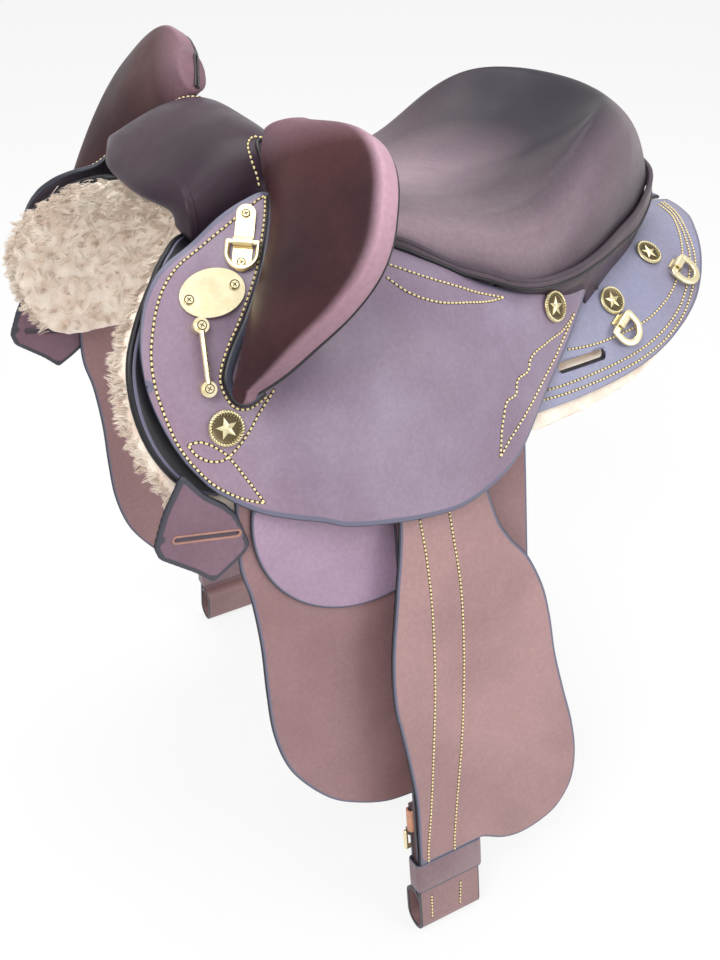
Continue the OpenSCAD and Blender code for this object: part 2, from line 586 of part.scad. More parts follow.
// Buckles, dees and conchos
module wire_frame(w, h, r) {
  for (s = [-1, 1]) {
    translate([s * (w / 2 + r), 0, 0]) rotate([90, 0, 0]) cylinder(r = r, h = h, center = true);
    translate([0, s * h / 2, 0]) rotate([0, 90, 0]) cylinder(r = r, h = w + 2 * r, center = true);
  }
  for (s = [-1, 1], t = [-1, 1]) translate([s * (w / 2 + r), t * h / 2, 0]) sphere(r);
}
// Share of a dee's width that its straight legs take
dee_leg_share = 0.42;
module dee(w, r) {
  leg = w * dee_leg_share;
  rotate([0, 90, 0]) cylinder(r = r, h = w + 2 * r, center = true);
  for (s = [-1, 1]) translate([s * (w / 2 + r), 0, 0]) {
    sphere(r);
    rotate([90, 0, 0]) cylinder(r = r, h = leg);
  }
  translate([0, -leg, 0]) rotate(180) rotate_extrude(angle = 180) translate([w / 2 + r, 0]) circle(r);
}
// Strap of metal over a dee's straight bar, with a screw in each end that is long enough
module clip(w, r, up_len, low_len) {
  in_r = r + gap / 2;
  out_r = in_r + clip_t;
  difference() {
    union() {
      translate([0, 0, out_r]) rotate([0, 90, 0]) cylinder(r = out_r, h = w, center = true);
      translate([-w / 2, -low_len, 0]) cube([w, up_len + low_len, clip_t]);
      for (y = [-low_len, up_len]) if (abs(y) > w) translate([0, y, 0]) cylinder(r = w / 2, h = clip_t);
    }
    translate([0, 0, out_r]) rotate([0, 90, 0]) cylinder(r = in_r, h = w + over, center = true);
  }
  for (y = [-low_len, up_len]) if (abs(y) > w) translate([0, y, clip_t / 2]) screw_head(w / 5);
}
module screw_head(r) difference() {
  cylinder(r = r, h = clip_t);
  translate([0, 0, clip_t]) cube([2 * r + over, r / 3, clip_t / 2], center = true);
}
// Share of a concho's radius that its rim, its dish and its star take
rim_share = 0.2;
module concho(r) {
  rotate_extrude() polygon([[0, 0], [r * 0.92, 0], [r, concho_h * 0.3], [r, concho_h * 0.7],
    [r * (1 - rim_share / 2), concho_h], [r * (1 - rim_share), concho_h * 0.75],
    [r * 0.7, concho_h * 0.5], [0, concho_h * 0.55]]);
  translate([0, 0, concho_h / 4]) linear_extrude(concho_h * 0.55)
    polygon([for (i = [0:9]) (i % 2 ? 0.27 : 0.66) * r * [cos(36 * i + 90), sin(36 * i + 90)]]);
}

module tree_bar_near() color("burlywood") tree_bar("near");
module tree_bar_off() color("burlywood") tree_bar("off");
module tree_fork() color("burlywood") arch_shell(fork_d, fork_t);
module gullet_lining() color("#4a4046") arch_shell(lining_d, lining_t);
module fork_cover() color("#6b5560") arch_shell(0, cover_t);
// Angle of the gullet screws from the crown of the arch, and their place along it
screw_turn = 26;
screw_place_share = 0.12;
module gullet_screws() color("#9a938c") for (s = [-1, 1]) {
  t = 90 + s * screw_turn;
  d = lining_d + lining_t + gap;
  stand(arch(t, screw_place_share, d), -arch_up(t, screw_place_share, d)) difference() {
    intersection() {
      cylinder(r = screw_r, h = screw_r / 2);
      translate([0, 0, -screw_r]) sphere(screw_r * 1.4);
    }
    translate([0, 0, screw_r / 2]) cube([2 * screw_r, screw_r / 5, screw_r / 4], center = true);
  }
}
// Reach of the cantle board and of the ground seat round and out over the seat
board_steps = 16;
ground_radii_shares = [0.2, 0.4, 0.6];
board_radii_shares = [0.8, 0.92, 1, 1.12, 1.26, 1.42, 1.6];
function board_sheet(d) = [for (r = board_radii_shares) [for (c = [0:board_steps])
  seat_under(r, 1 + (2 * c - board_steps) / seat_steps, d)]];
// How many clearances the cantle board lies below the seat, whose steep sides leave it closer
board_gap_share = 4.5;
module cantle_board() color("burlywood")
  slab(board_sheet(board_gap_share * gap + board_t), board_sheet(board_gap_share * gap));
module ground_seat() color("#8a6f57") dish(
  [for (r = ground_radii_shares) seat_ring(function(k) seat_under(r, k, gap + board_t))],
  [for (r = ground_radii_shares) seat_ring(function(k) seat_under(r, k, gap))],
  seat_low - [0, 0, seat_t + gap + board_t], seat_low - [0, 0, seat_t + gap]);
module seat_pad() color("#4f4148") dish(
  [for (r = seat_radii_shares) seat_ring(function(k) seat_under(r, k, 0))],
  [for (r = seat_radii_shares) seat_ring(function(k) seat_face(r, k))],
  seat_low - [0, 0, seat_t], seat_low);
// How far the piping stands off the seat's edge as a share of its radius and clearance
piping_out_share = 1.3;
// How far the piping is lifted off the jockeys, as a share of its radius
piping_lift_share = 1;
// Number of points round the piping's section
piping_sides = 6;
function piping_at(k) = let (p = seat_face(2, k), o = unit([p.x, p.y - seat_mid_y, 0]))
  p + o * (piping_r + gap) * piping_out_share + [0, 0, piping_r * piping_lift_share];
module seat_piping() color("#1d1a1c")
  ring_bar(seat_ring(function(k) piping_at(k)), piping_r, piping_sides);
// Reach of the cantle's back panel round the seat, and how far it lies inside the seat's edge
back_side_share = 0.8;
panel_top_share = 0.55;
back_steps = 18;
function back_row(top, d) = [for (i = [0:back_steps])
  let (k = mix(back_side_share, 2 - back_side_share, i / back_steps),
    p = seat_at(k, 1), o = unit([p.x, p.y - seat_mid_y, 0]), q = p - o * (back_inset + d))
  [q.x, q.y, top ? p.z - seat_t * panel_top_share : skin_z(abs(q.x), q.y) + 2 * gap]];
module cantle_back() color("#5d4b55") slab([back_row(true, flap_t), back_row(false, flap_t)],
  [back_row(true, 0), back_row(false, 0)]);

// Number of rings along a knee pad
pad_rings = 15;
module knee_pad(side) near_off(side)
  loft([for (i = [0:pad_rings]) pad_ring(mix(pad_shares[0][0], 1, i / pad_rings))]);
module knee_pad_near() color("#4a2a28") knee_pad("near");
module knee_pad_off() color("#4a2a28") knee_pad("off");
function welt_sheet(d) = [for (s = [0, 1]) [for (p = curve(pad_welt_shares, 2))
  jockey(p[1] + (s - 0.5) * pad_welt_w / skirt_half_w, p[0] * half_len, d)]];
module pad_welt(side) near_off(side) slab(welt_sheet(2 * gap), welt_sheet(2 * gap + pad_welt_t));
module pad_welt_near() color("#3b3d49") pad_welt("near");
module pad_welt_off() color("#3b3d49") pad_welt("off");

jockey_rows = 11;
jockey_cols = 26;
jockey_ends = [jockey_shares[0][0], jockey_shares[len(jockey_shares) - 1][0]];
function jockey_sheet(d) = [for (r = [0:jockey_rows]) [for (c = [0:jockey_cols])
  jockey(r / jockey_rows, half_len * mix(jockey_ends[0], jockey_ends[1], c / jockey_cols), d)]];
module jockey_side(side) near_off(side) slab(jockey_sheet(-jockey_t), jockey_sheet(0));
module jockey_near() color("#84697a") jockey_side("near");
module jockey_off() color("#84697a") jockey_side("off");
module skirt_near() color("#7a6a86") skirt("near");
module skirt_off() color("#7a6a86") skirt("off");
module fleece_near() color("#efe0c4") fleece("near");
module fleece_off() color("#efe0c4") fleece("off");

// Bar from one point to another
module rod(a, b, r) {
  d = b - a;
  translate(a) rotate([0, acos(d.z / norm(d)), atan2(d.y, d.x)]) cylinder(r = r, h = norm(d));
}
// Where the stirrup bar's legs stand on the tree bar, as a share of the bar's width, and their knobs
foot_share = 0.9;
knob_share = 1.16;
knob_r = knob_share * rod_r;
module stirrup_bar(side) near_off(side) {
  hang() translate([0, 0, -bow_r]) rotate([90, 0, 90]) rotate(90 - bow_turn)
    rotate_extrude(angle = 2 * bow_turn) translate([bow_r, 0]) circle(rod_r);
  for (s = [-1, 1]) {
    e = hang_pt(0, s * bow_r * sin(bow_turn), bow_r * cos(bow_turn) - bow_r);
    x = mix(bar_in_x, bar_out_x, foot_share);
    up = bar_up(x, e.y);
    f = bar_top(x, e.y) + up * gap;
    k = f + up * knob_share * knob_r;
    translate(e) sphere(knob_r);
    rod(e, k, rod_r);
    translate(k) sphere(knob_r);
    stand(f, up) cylinder(r = foot_r, h = rod_r);
  }
}
module stirrup_bar_near() color("#77777c") stirrup_bar("near");
module stirrup_bar_off() color("#77777c") stirrup_bar("off");

// Flaps on the hanging plane of the sweat flap
module flap_plane() translate(flap_top) rotate([0, -flap_lean, 0]) children();
module sweat_flap(side) near_off(side) flap_plane() leaf(0, flap_t) polygon(concat(
  [for (p = flap_shares) [p[1] * flap_front_y, -p[0] * flap_depth]],
  [for (i = [len(flap_shares) - 1:-1:0]) let (p = flap_shares[i]) [p[2] * flap_rear_y, -p[0] * flap_depth]]));
module sweat_flap_near() color("#7d5b58") sweat_flap("near");
module sweat_flap_off() color("#7d5b58") sweat_flap("off");
module rigging_cover(side) near_off(side) flap_plane() leaf(flap_t + gap, moon_t) intersection() {
  translate([moon_y, -moon_mid_share * moon_r]) circle(moon_r, $fn = 72);
  translate([moon_y, -moon_top_share * moon_r - moon_r])
    square(2 * moon_r, center = true);
}
module rigging_cover_near() color("#84626a") rigging_cover("near");
module rigging_cover_off() color("#84626a") rigging_cover("off");
module latigo_keeper(side) near_off(side) flap_plane() leaf(flap_t + gap, latigo_t)
  translate([latigo_y, 0]) difference() {
    polygon([for (p = latigo_shares) [p[0] * latigo_w, p[1] * latigo_len]]);
    translate([0, -latigo_slot_share * latigo_len]) rotate(latigo_slot_turn)
      square([latigo_slot_len, latigo_slot_h], center = true);
  }
module latigo_keeper_near() color("#7d6478") latigo_keeper("near");
module latigo_keeper_off() color("#7d6478") latigo_keeper("off");

// Fenders and stirrup leathers
module fender(side) near_off(side) hang() leaf(fender_in, fender_t) polygon(curve(concat(
  [for (p = fender_front_shares) [p[1] * fender_front_w, -p[0] * fender_len]],
  [for (p = fender_rear_shares) [p[1] * fender_rear_w, -p[0] * fender_len]]), 3));
module fender_near() color("#86605c") fender("near");
module fender_off() color("#86605c") fender("off");
module stadium(r, top, low) {
  translate([0, -top]) circle(r);
  translate([0, -low]) circle(r);
  translate([-r, -low]) square([2 * r, low - top]);
}
module stirrup_leather(side) near_off(side) hang() difference() {
  run(strap_w) strap_section();
  translate([buckle_face - fold_r - over, -tongue_w / 2 - gap,
    buckle_h / 2 - buckle_drop - fold_r - over])
    cube([fold_r + over + buckle_wire_r, tongue_w + 2 * gap, 2 * (fold_r + over)]);
}
module strap_section() {
  difference() {
    union() {
      circle(strap_face);
      translate([-strap_face, -bar_loop_len - strap_t]) square([2 * strap_face, bar_loop_len + strap_t]);
    }
    circle(strap_in);
    translate([-strap_in, -bar_loop_len]) square([2 * strap_in, bar_loop_len]);
  }
  translate([strap_in, -loop_low]) square([strap_t, loop_low]);
  translate([back_in, -back_end]) square([strap_t, back_end - back_drop]);
  translate([buckle_face, buckle_h / 2 - buckle_drop]) difference() {
    circle(fold_r);
    circle(buckle_wire_r + gap / 2);
  }
  translate([loop_mid, 0]) difference() {
    stadium(loop_r + strap_t, loop_top, loop_low);
    stadium(loop_r, loop_top, loop_low);
  }
}
module stirrup_leather_near() color("#7a5450") stirrup_leather("near");
module stirrup_leather_off() color("#7a5450") stirrup_leather("off");
// Flat band round a strap between two faces
module band(x0, x1, w, t, h, top) translate([0, 0, -top - h]) linear_extrude(h) difference() {
  translate([x0 - gap - t, -w / 2 - gap - t]) square([x1 - x0 + 2 * (gap + t), w + 2 * (gap + t)]);
  translate([x0 - gap, -w / 2 - gap]) square([x1 - x0 + 2 * gap, w + 2 * gap]);
}
module strap_keeper(side) near_off(side) hang()
  band(back_in, strap_face, strap_w, keeper_t, keeper_h, keeper_drop);
module strap_keeper_near() color("#5f4244") strap_keeper("near");
module strap_keeper_off() color("#5f4244") strap_keeper("off");
module lace_keeper(side) near_off(side) hang()
  band(back_in, back_in + strap_t, strap_w, keeper_t, lace_h, lace_drop);
module lace_keeper_near() color("#b07a48") lace_keeper("near");
module lace_keeper_off() color("#b07a48") lace_keeper("off");
module on_buckle() hang() translate([buckle_face, 0, -buckle_drop])
  rotate([90, 0, 90]) children();
module buckle(side) near_off(side) on_buckle() wire_frame(strap_w + 2 * gap, buckle_h, buckle_wire_r);
module buckle_near() color("#d8c27a") buckle("near");
module buckle_off() color("#d8c27a") buckle("off");
module buckle_tongue(side) near_off(side) on_buckle() translate([0, -buckle_h / 2, 0]) {
  eye_r = buckle_wire_r + gap / 2;
  rotate([0, 90, 0]) difference() {
    cylinder(r = eye_r + tongue_t, h = tongue_w, center = true);
    cylinder(r = eye_r, h = tongue_w + over, center = true);
  }
  translate([-tongue_w / 2, 0, -eye_r - tongue_t]) cube([tongue_w, buckle_h + buckle_wire_r, tongue_t]);
}
module buckle_tongue_near() color("#d8c27a") buckle_tongue("near");
module buckle_tongue_off() color("#d8c27a") buckle_tongue("off");
// Hardware of the jockeys
module front_dee_place(side) near_off(side) on_jockey(front_dee_shares, gap, front_dee_turn) children();
module front_dee_clip(side) front_dee_place(side)
  clip(clip_front_w, dee_front_wire_r, clip_front_up, clip_front_low);
module front_dee_clip_near() color("#e3d08a") front_dee_clip("near");
module front_dee_clip_off() color("#e3d08a") front_dee_clip("off");
module front_dee(side) front_dee_place(side)
  translate([0, 0, dee_front_wire_r + gap / 2 + clip_t]) dee(dee_front_w, dee_front_wire_r);
module front_dee_near() color("#e3d08a") front_dee("near");
module front_dee_off() color("#e3d08a") front_dee("off");
// Number of points round the oval plate
oval_steps = 48;
module oval(l, w, t) linear_extrude(t)
  polygon([for (i = [0:oval_steps - 1]) let (a = 360 * i / oval_steps) [w / 2 * cos(a), l / 2 * sin(a)]]);
module oval_plate() color("#f0e4a8") on_jockey(plate_shares, plate_lift) oval(plate_len, plate_w, plate_t);
// Share of the plate's length where its screws sit
plate_screw_share = 0.36;
module plate_screws() color("#c9b878")
  on_jockey(plate_shares, plate_lift + plate_t + gap / 2) for (s = [-1, 1])
    translate([0, s * plate_screw_share * plate_len, 0]) screw_head(plate_screw_r);
module staple(side) near_off(side) {
  y = staple_shares[0] * half_len;
  r = staple_len / 2 / jockey_width(staple_shares[0]) / norm(jockey_run);
  a = [for (k = [-1, 1]) [y - k * staple_len * sin(-staple_turn) / 2, staple_shares[1] + k * r]];
  b = [for (p = a) jockey(p[1], p[0], 0) + jockey_up(p[1], p[0]) * (staple_h - staple_bar_r)];
  for (p = a) stand(jockey(p[1], p[0], 0) + jockey_up(p[1], p[0]) * gap, jockey_up(p[1], p[0])) {
    cylinder(r = boss_r, h = staple_h - staple_bar_r);
    translate([0, 0, staple_h - staple_bar_r]) cylinder(r = boss_r * 0.7, h = staple_bar_r);
  }
  rod(b[0], b[1], staple_bar_r);
}
// Width of a jockey as a share of the half width, and the run of its face for each unit across it
function jockey_width(k) = smooth(jockey_shares, k, 3) - smooth(jockey_shares, k, 1);
function at_staple(e) = jockey(staple_shares[1] + e / skirt_half_w, staple_shares[0] * half_len, 0);
jockey_run = (at_staple(probe) - at_staple(0)) / probe * skirt_half_w / jockey_width(staple_shares[0]);
module staple_near() color("#e3d08a") staple("near");
module staple_off() color("#e3d08a") staple("off");
module front_conchos() color("#b8a06a") for (s = ["near", "off"]) near_off(s)
  on_jockey(front_concho_shares, gap, 90) concho(concho_r);
module middle_conchos() color("#b8a06a") for (s = ["near", "off"]) near_off(s)
  on_jockey(middle_concho_shares, gap, 90) concho(concho_r);
module rear_conchos() color("#b8a06a") for (s = ["near", "off"])
  for (p = [rear_concho_upper_shares, rear_concho_lower_shares])
    near_off(s) on_skin(p, seat_rear_y, gap, 90) concho(concho_small_r);
module rear_dee_clips() color("#e3d08a") for (s = ["near", "off"])
  for (p = [rear_dee_upper_shares, rear_dee_lower_shares])
    near_off(s) on_skin(p, rear_len, gap, rear_dee_turn)
      clip(clip_rear_w, dee_rear_wire_r, clip_rear_up, 0);
module rear_dee(side, place) near_off(side) on_skin(place, rear_len, gap, rear_dee_turn)
  translate([0, 0, dee_rear_wire_r + gap / 2 + clip_t]) dee(dee_rear_w, dee_rear_wire_r);
module rear_dee_upper_near() color("#e3d08a") rear_dee("near", rear_dee_upper_shares);
module rear_dee_lower_near() color("#e3d08a") rear_dee("near", rear_dee_lower_shares);
module rear_dee_upper_off() color("#e3d08a") rear_dee("off", rear_dee_upper_shares);
module rear_dee_lower_off() color("#e3d08a") rear_dee("off", rear_dee_lower_shares);

tree_bar_near();
tree_bar_off();
tree_fork();
cantle_board();
ground_seat();
stirrup_bar_near();
stirrup_bar_off();
gullet_lining();
gullet_screws();
fork_cover();
seat_pad();
seat_piping();
cantle_back();
knee_pad_near();
knee_pad_off();
pad_welt_near();
pad_welt_off();
jockey_near();
jockey_off();
skirt_near();
skirt_off();
fleece_near();
fleece_off();
rigging_cover_near();
rigging_cover_off();
sweat_flap_near();
sweat_flap_off();
latigo_keeper_near();
latigo_keeper_off();
oval_plate();
plate_screws();
staple_near();
staple_off();
front_dee_clip_near();
front_dee_clip_off();
rear_dee_clips();
front_conchos();
middle_conchos();
rear_conchos();
front_dee_near();
front_dee_off();
rear_dee_upper_near();
rear_dee_lower_near();
rear_dee_upper_off();
rear_dee_lower_off();
fender_near();
fender_off();
stirrup_leather_near();
stirrup_leather_off();
strap_keeper_near();
strap_keeper_off();
lace_keeper_near();
lace_keeper_off();
buckle_near();
buckle_off();
buckle_tongue_near();
buckle_tongue_off();
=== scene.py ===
import math

import bmesh
import bpy
import numpy as np
from mathutils import Matrix, Vector, noise
from mathutils.geometry import delaunay_2d_cdt
from mathutils.kdtree import KDTree


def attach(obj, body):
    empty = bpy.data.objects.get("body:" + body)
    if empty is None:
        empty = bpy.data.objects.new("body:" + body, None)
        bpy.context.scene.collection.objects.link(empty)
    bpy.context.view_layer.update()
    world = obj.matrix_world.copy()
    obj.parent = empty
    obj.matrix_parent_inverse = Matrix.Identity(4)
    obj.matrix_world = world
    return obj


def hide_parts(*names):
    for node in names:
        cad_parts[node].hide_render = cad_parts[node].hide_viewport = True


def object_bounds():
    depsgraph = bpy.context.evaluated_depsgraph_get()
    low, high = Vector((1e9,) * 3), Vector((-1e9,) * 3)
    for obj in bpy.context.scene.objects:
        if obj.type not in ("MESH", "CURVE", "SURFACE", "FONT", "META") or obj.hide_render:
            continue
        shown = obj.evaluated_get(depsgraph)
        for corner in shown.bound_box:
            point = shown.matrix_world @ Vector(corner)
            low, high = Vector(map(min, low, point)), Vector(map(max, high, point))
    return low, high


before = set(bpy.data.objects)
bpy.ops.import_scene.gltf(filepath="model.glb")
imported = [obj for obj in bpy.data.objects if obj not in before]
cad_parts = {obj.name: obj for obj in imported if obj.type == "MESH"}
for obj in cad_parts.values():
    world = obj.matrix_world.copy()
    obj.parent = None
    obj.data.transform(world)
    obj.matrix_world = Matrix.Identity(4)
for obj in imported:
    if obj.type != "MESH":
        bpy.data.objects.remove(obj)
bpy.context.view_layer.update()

# Sizes of the saddle in millimetres, as in the part's source
MM = 0.001
HALF_LEN, REAR_LEN, HALF_W = 286, 390, 200
RIDGE = (137, 72, 20)
FALL = (203, 149, 120)
SKIRT_T, FLEECE_T, FLEECE_OVER, GAP = 5, 18, 7, 0.5
SLOT_LEN, SLOT_H = 58, 9
FORK_TOP, FORK_HALF, FORK_FRONT, FORK_REAR, COVER_T, BAR_RISE = 172, 98, 203, 96, 3.5, 4
SEAT_LOW, CANTLE, SEAT_T, SEAT_HALF, SEAT_REAR, SEAT_FRONT = 83, 138, 14.6, 166, 316, 88
PIPING_R, JOCKEY_T, JOCKEY_RISE = 2.6, 4.5, 50
PAD_H, PAD_T, PAD_CROWN, WELT_T = 145, 26, 7, 3
HANG_X, HANG_Y, HANG_Z, LEAN = 202, 52, 15, math.radians(8.5)
FENDER_LEN, FENDER_FRONT, FENDER_REAR, FENDER_T = 531, 52, 160, 4.5
STRAP_W, STRAP_T, STRAP_FACE = 72, 3.6, 8.6
FLAP_BOTTOM, FLAP_FRONT, FLAP_REAR, FLAP_T, FLAP_RUN = 486, 227, 78, 4, 0.06
MOON_R, MOON_T = 112, 3.6
LATIGO_W, LATIGO_LEN, LATIGO_T, LATIGO_SLOT, LATIGO_SLOT_H = 90, 74, 4.5, 58, 6
CONCHO_R, CONCHO_SMALL_R, CONCHO_H = 14.5, 14, 4
DEE_W, DEE_WIRE, CLIP_T = 18, 3, 1.8

# Outlines in shares of those sizes
SKIRT = [[0.03, 0.98, 1], [0.11, 0.9, 0.996], [0.19, 0.72, 0.985], [0.27, -0.1, 0.972],
    [0.31, -0.5, 0.962], [0.4, -0.7, 0.935], [0.5, -0.79, 0.905], [0.6, -0.86, 0.87],
    [0.7, -0.935, 0.825], [0.78, -0.985, 0.775], [0.85, -1, 0.705], [0.91, -0.985, 0.615],
    [0.955, -0.945, 0.495], [0.985, -0.89, 0.34], [1, -0.83, 0.19]]
JOCKEY = [[-0.965, 0.805, 0.2, 0.83, 0.2, 0], [-0.935, 0.7, 0.24, 0.91, 0.22, 0.02],
    [-0.875, 0.61, 0.26, 0.97, 0.25, 0.06], [-0.82, 0.56, 0.28, 1, 0.32, 0.08],
    [-0.735, 0.505, 0.34, 1.03, 0.35, 0.1], [-0.645, 0.46, 0.7, 1.05, 0.39, -0.02],
    [-0.56, 0.43, 0.92, 1.065, 0.45, 0.1], [-0.49, 0.42, 1.04, 1.08, 0.49, 0.12],
    [-0.35, 0.44, 0.7, 1.095, 0.53, 0.28], [-0.21, 0.48, 0.44, 1.105, 0.53, 0.4],
    [-0.1, 0.53, 0.42, 1.105, 0.53, 0.42], [0.035, 0.6, 0.42, 1.085, 0.49, 0.36],
    [0.155, 0.67, 0.42, 1.05, 0.36, 0.26], [0.3, 0.71, 0.56, 0.96, 0.2, 0.1],
    [0.44, 0.68, 0.56, 0.85, 0.18, 0], [0.525, 0.65, 0.52, 0.765, 0.18, 0],
    [0.58, 0.63, 0.5, 0.7, 0.22, 0]]
FORK = [[0, 1, 0.847], [0.14, 1, 0.9], [0.32, 1, 0.955], [0.5, 1, 0.99], [0.68, 0.99, 1],
    [0.85, 0.96, 0.965], [1, 0.92, 0.875]]
SEAT_MID, SEAT_SWELL, SEAT_EDGE = 0.2, 0.1, 0.6
SEAT = [[0, -1, 0.84, 0, -0.87, 1.04], [0.3, -0.98, 0.81, 0.2, -0.85, 1.02],
    [0.54, -0.88, 0.69, 0.38, -0.74, 0.83], [0.66, -0.74, 0.62, 0.47, -0.63, 0.74],
    [0.735, -0.55, 0.55, 0.53, -0.48, 0.68], [0.82, -0.3, 0.39, 0.6, -0.28, 0.625],
    [0.91, -0.08, 0.3, 0.68, -0.07, 0.6], [1, 0.08, 0.24, 0.75, 0.07, 0.595],
    [0.985, 0.24, 0.235, 0.79, 0.2, 0.67], [0.9, 0.4, 0.25, 0.72, 0.35, 0.92],
    [0.77, 0.57, 0.29, 0.61, 0.49, 1.08], [0.6, 0.77, 0.35, 0.46, 0.63, 1.1],
    [0.36, 0.945, 0.46, 0.27, 0.7, 1.1], [0, 1, 0.52, 0, 0.73, 1.1]]
PAD = [[-0.02, -0.017, 0.36], [0.04, -0.027, 0.64], [0.1, -0.007, 0.8], [0.18, 0.053, 0.91],
    [0.28, 0.128, 0.975], [0.4, 0.158, 1], [0.52, 0.148, 0.995], [0.63, 0.118, 0.93],
    [0.74, 0.098, 0.78], [0.85, 0.098, 0.55], [0.94, 0.088, 0.36], [1, 0.068, 0.2]]
PAD_CORNER = (0.42, -0.4755, 1.012)
PAD_END = (0.964, -0.804, 0.1377)
PAD_RISE = np.array((0.848, 0.362, 0.387))
FENDER_EDGE_F = [[0.065, -0.67], [0.23, -0.67], [0.36, -0.83], [0.475, -0.98], [0.57, -1],
    [0.64, -0.9], [0.73, -0.77], [0.81, -0.69], [0.9, -0.69]]
FENDER_EDGE_R = [[0.972, 0.3], [0.992, 0.42], [1, 0.56], [0.993, 0.72],
    [0.972, 0.86], [0.923, 0.97], [0.853, 1], [0.776, 0.97], [0.695, 0.905], [0.6, 0.835],
    [0.514, 0.795], [0.44, 0.74], [0.365, 0.63], [0.313, 0.5], [0.25, 0.4], [0.065, 0.24]]
FLAP = [[0, -0.99, 0.76], [0.16, -1, 0.83], [0.26, -0.965, 0.87], [0.385, -0.943, 0.92],
    [0.51, -0.938, 0.97], [0.63, -0.925, 1], [0.74, -0.877, 0.98], [0.825, -0.793, 0.9],
    [0.905, -0.674, 0.76], [0.957, -0.537, 0.58], [0.99, -0.4, 0.34], [1, -0.27, 0.05]]
LATIGO = [[-0.155, 0.46], [-0.37, 0.04], [-0.49, -0.32], [-0.455, -0.49], [-0.145, -0.8],
    [0.01, -1], [0.18, -0.88], [0.35, -0.74], [0.4, -0.65], [0.3, -0.22], [0.2, -0.05], [0.03, 0.13]]
LATIGO_Y = -0.885 * HALF_LEN
MOON_Y = LATIGO_Y + 0.4 * LATIGO_W + MOON_R + 4 * GAP


# Curves and surfaces of the part: a smooth table column, and a smooth line through points
def smooth(tab, k, c):
    t = np.array(tab, float)
    x, n = t[:, 0], len(t)
    hi, lo = np.minimum(np.arange(n) + 1, n - 1), np.maximum(np.arange(n) - 1, 0)
    m = (t[hi, c] - t[lo, c]) / (x[hi] - x[lo])
    k = np.asarray(k, float)
    i = np.clip(np.searchsorted(x, k, side="left") - 1, 0, n - 2)
    h = x[i + 1] - x[i]
    q = (k - x[i]) / h
    return (t[i, c] * (1 + 2 * q) * (1 - q) ** 2 + m[i] * h * q * (1 - q) ** 2
        + t[i + 1, c] * q * q * (3 - 2 * q) + m[i + 1] * h * q * q * (q - 1))


def curve(points, n):
    p = np.array(points, float)
    out = []
    for i in range(len(p) - 1):
        a, b, c, d = p[max(0, i - 1)], p[i], p[i + 1], p[min(len(p) - 1, i + 2)]
        for q in np.arange(n) / n:
            out.append(b + q * (c - a) / 2 + q * q * (a - 2.5 * b + 2 * c - d / 2)
                + q ** 3 * (3 * b - a - 3 * c + d) / 2)
    return np.array(out + [p[-1]])


def unit(v):
    return v / np.maximum(np.linalg.norm(v, axis=-1, keepdims=True), 1e-9)


def stack(x, y, z):
    return np.stack(np.broadcast_arrays(np.asarray(x, float), y, z), -1)


def mix(a, b, t):
    return a + (b - a) * t


# Signed power, which squares off a round section
def power(v, n):
    return np.sign(v) * np.abs(v) ** n


# Angles of points round a circle
def turns_of(n):
    return np.arange(n) * 2 * math.pi / n


# Directions along a closed row of points
def loop_tangent(p):
    return unit(np.roll(p, -1, 0) - np.roll(p, 1, 0))


# Half the thickness of a leather with a rounded edge, at a distance from its rim
def round_edge(away, r):
    return np.sqrt(np.clip(1 - (1 - np.clip(away / r, 0, 1)) ** 2, 0, 1)) * r


# Outline of a slot with round ends
def slot_line(length, height, n):
    c, s = np.cos(turns_of(n)), np.sin(turns_of(n))
    return np.copysign((length - height) / 2, c) + height / 2 * c, height / 2 * s


def bow(v, u):
    return v[1] + (v[2] - v[0]) / 2 * u + ((v[0] + v[2]) / 2 - v[1]) * u * u


# The skirts' face: its height, its steepness across the saddle, and a place at a depth from it
def skin_z(x, y):
    u = y / HALF_LEN
    return bow(RIDGE, u) - bow(FALL, u) * (x / HALF_W) ** 3


def slope_at(x, y):
    return 3 * bow(FALL, y / HALF_LEN) / HALF_W * (x / HALF_W) ** 2


def skin(x, y, d):
    s = slope_at(x, y)
    l = np.sqrt(1 + s * s)
    return stack(x + d * s / l, y, skin_z(x, y) + d / l)


def jockey(s, y, d):
    k = y / HALF_LEN
    lift = mix(smooth(JOCKEY, k, 2), smooth(JOCKEY, k, 4), s) + smooth(JOCKEY, k, 5) * 4 * s * (1 - s)
    # The front tip is rounded between its last two rows
    tip, row = JOCKEY[0], JOCKEY[1]
    q = np.sqrt(np.clip((k - tip[0]) / (row[0] - tip[0]), 0, 1))
    mid = (tip[1] + tip[3]) / 2
    upper = np.where(k < row[0], mix(mid, row[1], q), smooth(JOCKEY, k, 1))
    lower = np.where(k < row[0], mix(mid, row[3], q), smooth(JOCKEY, k, 3))
    return skin(mix(upper, lower, s) * HALF_W, y, lift * JOCKEY_RISE + d)


# Height at which the fork's feet rest, and the fork's arch
def rest_z(x, y):
    s = slope_at(x, y)
    return skin_z(x, y) + (BAR_RISE + 2 * GAP) * np.sqrt(1 + s * s)


def arch(t, v, d):
    y = mix(-FORK_FRONT, -FORK_REAR, v)
    a, h = FORK_HALF * smooth(FORK, v, 1) - d, FORK_TOP * smooth(FORK, v, 2) - d
    f, c, s = rest_z(a, y), np.cos(t), np.abs(np.sin(t))
    return stack(a * power(c, 0.5), y, f + (h - f) * np.sqrt(s))


SEAT_MID_Y = SEAT_MID * SEAT_REAR
SEAT_KEYS = [[i / (len(SEAT) - 1)] + row for i, row in enumerate(SEAT)]


def seat_at(k, c):
    t = np.abs(k)
    y = smooth(SEAT_KEYS, t, c + 1)
    reach = np.where(y < 0, SEAT_FRONT + SEAT_MID_Y, SEAT_REAR - SEAT_MID_Y)
    return stack(np.sign(k) * smooth(SEAT_KEYS, t, c) * SEAT_HALF, SEAT_MID_Y + y * reach,
        smooth(SEAT_KEYS, t, c + 2) * CANTLE)


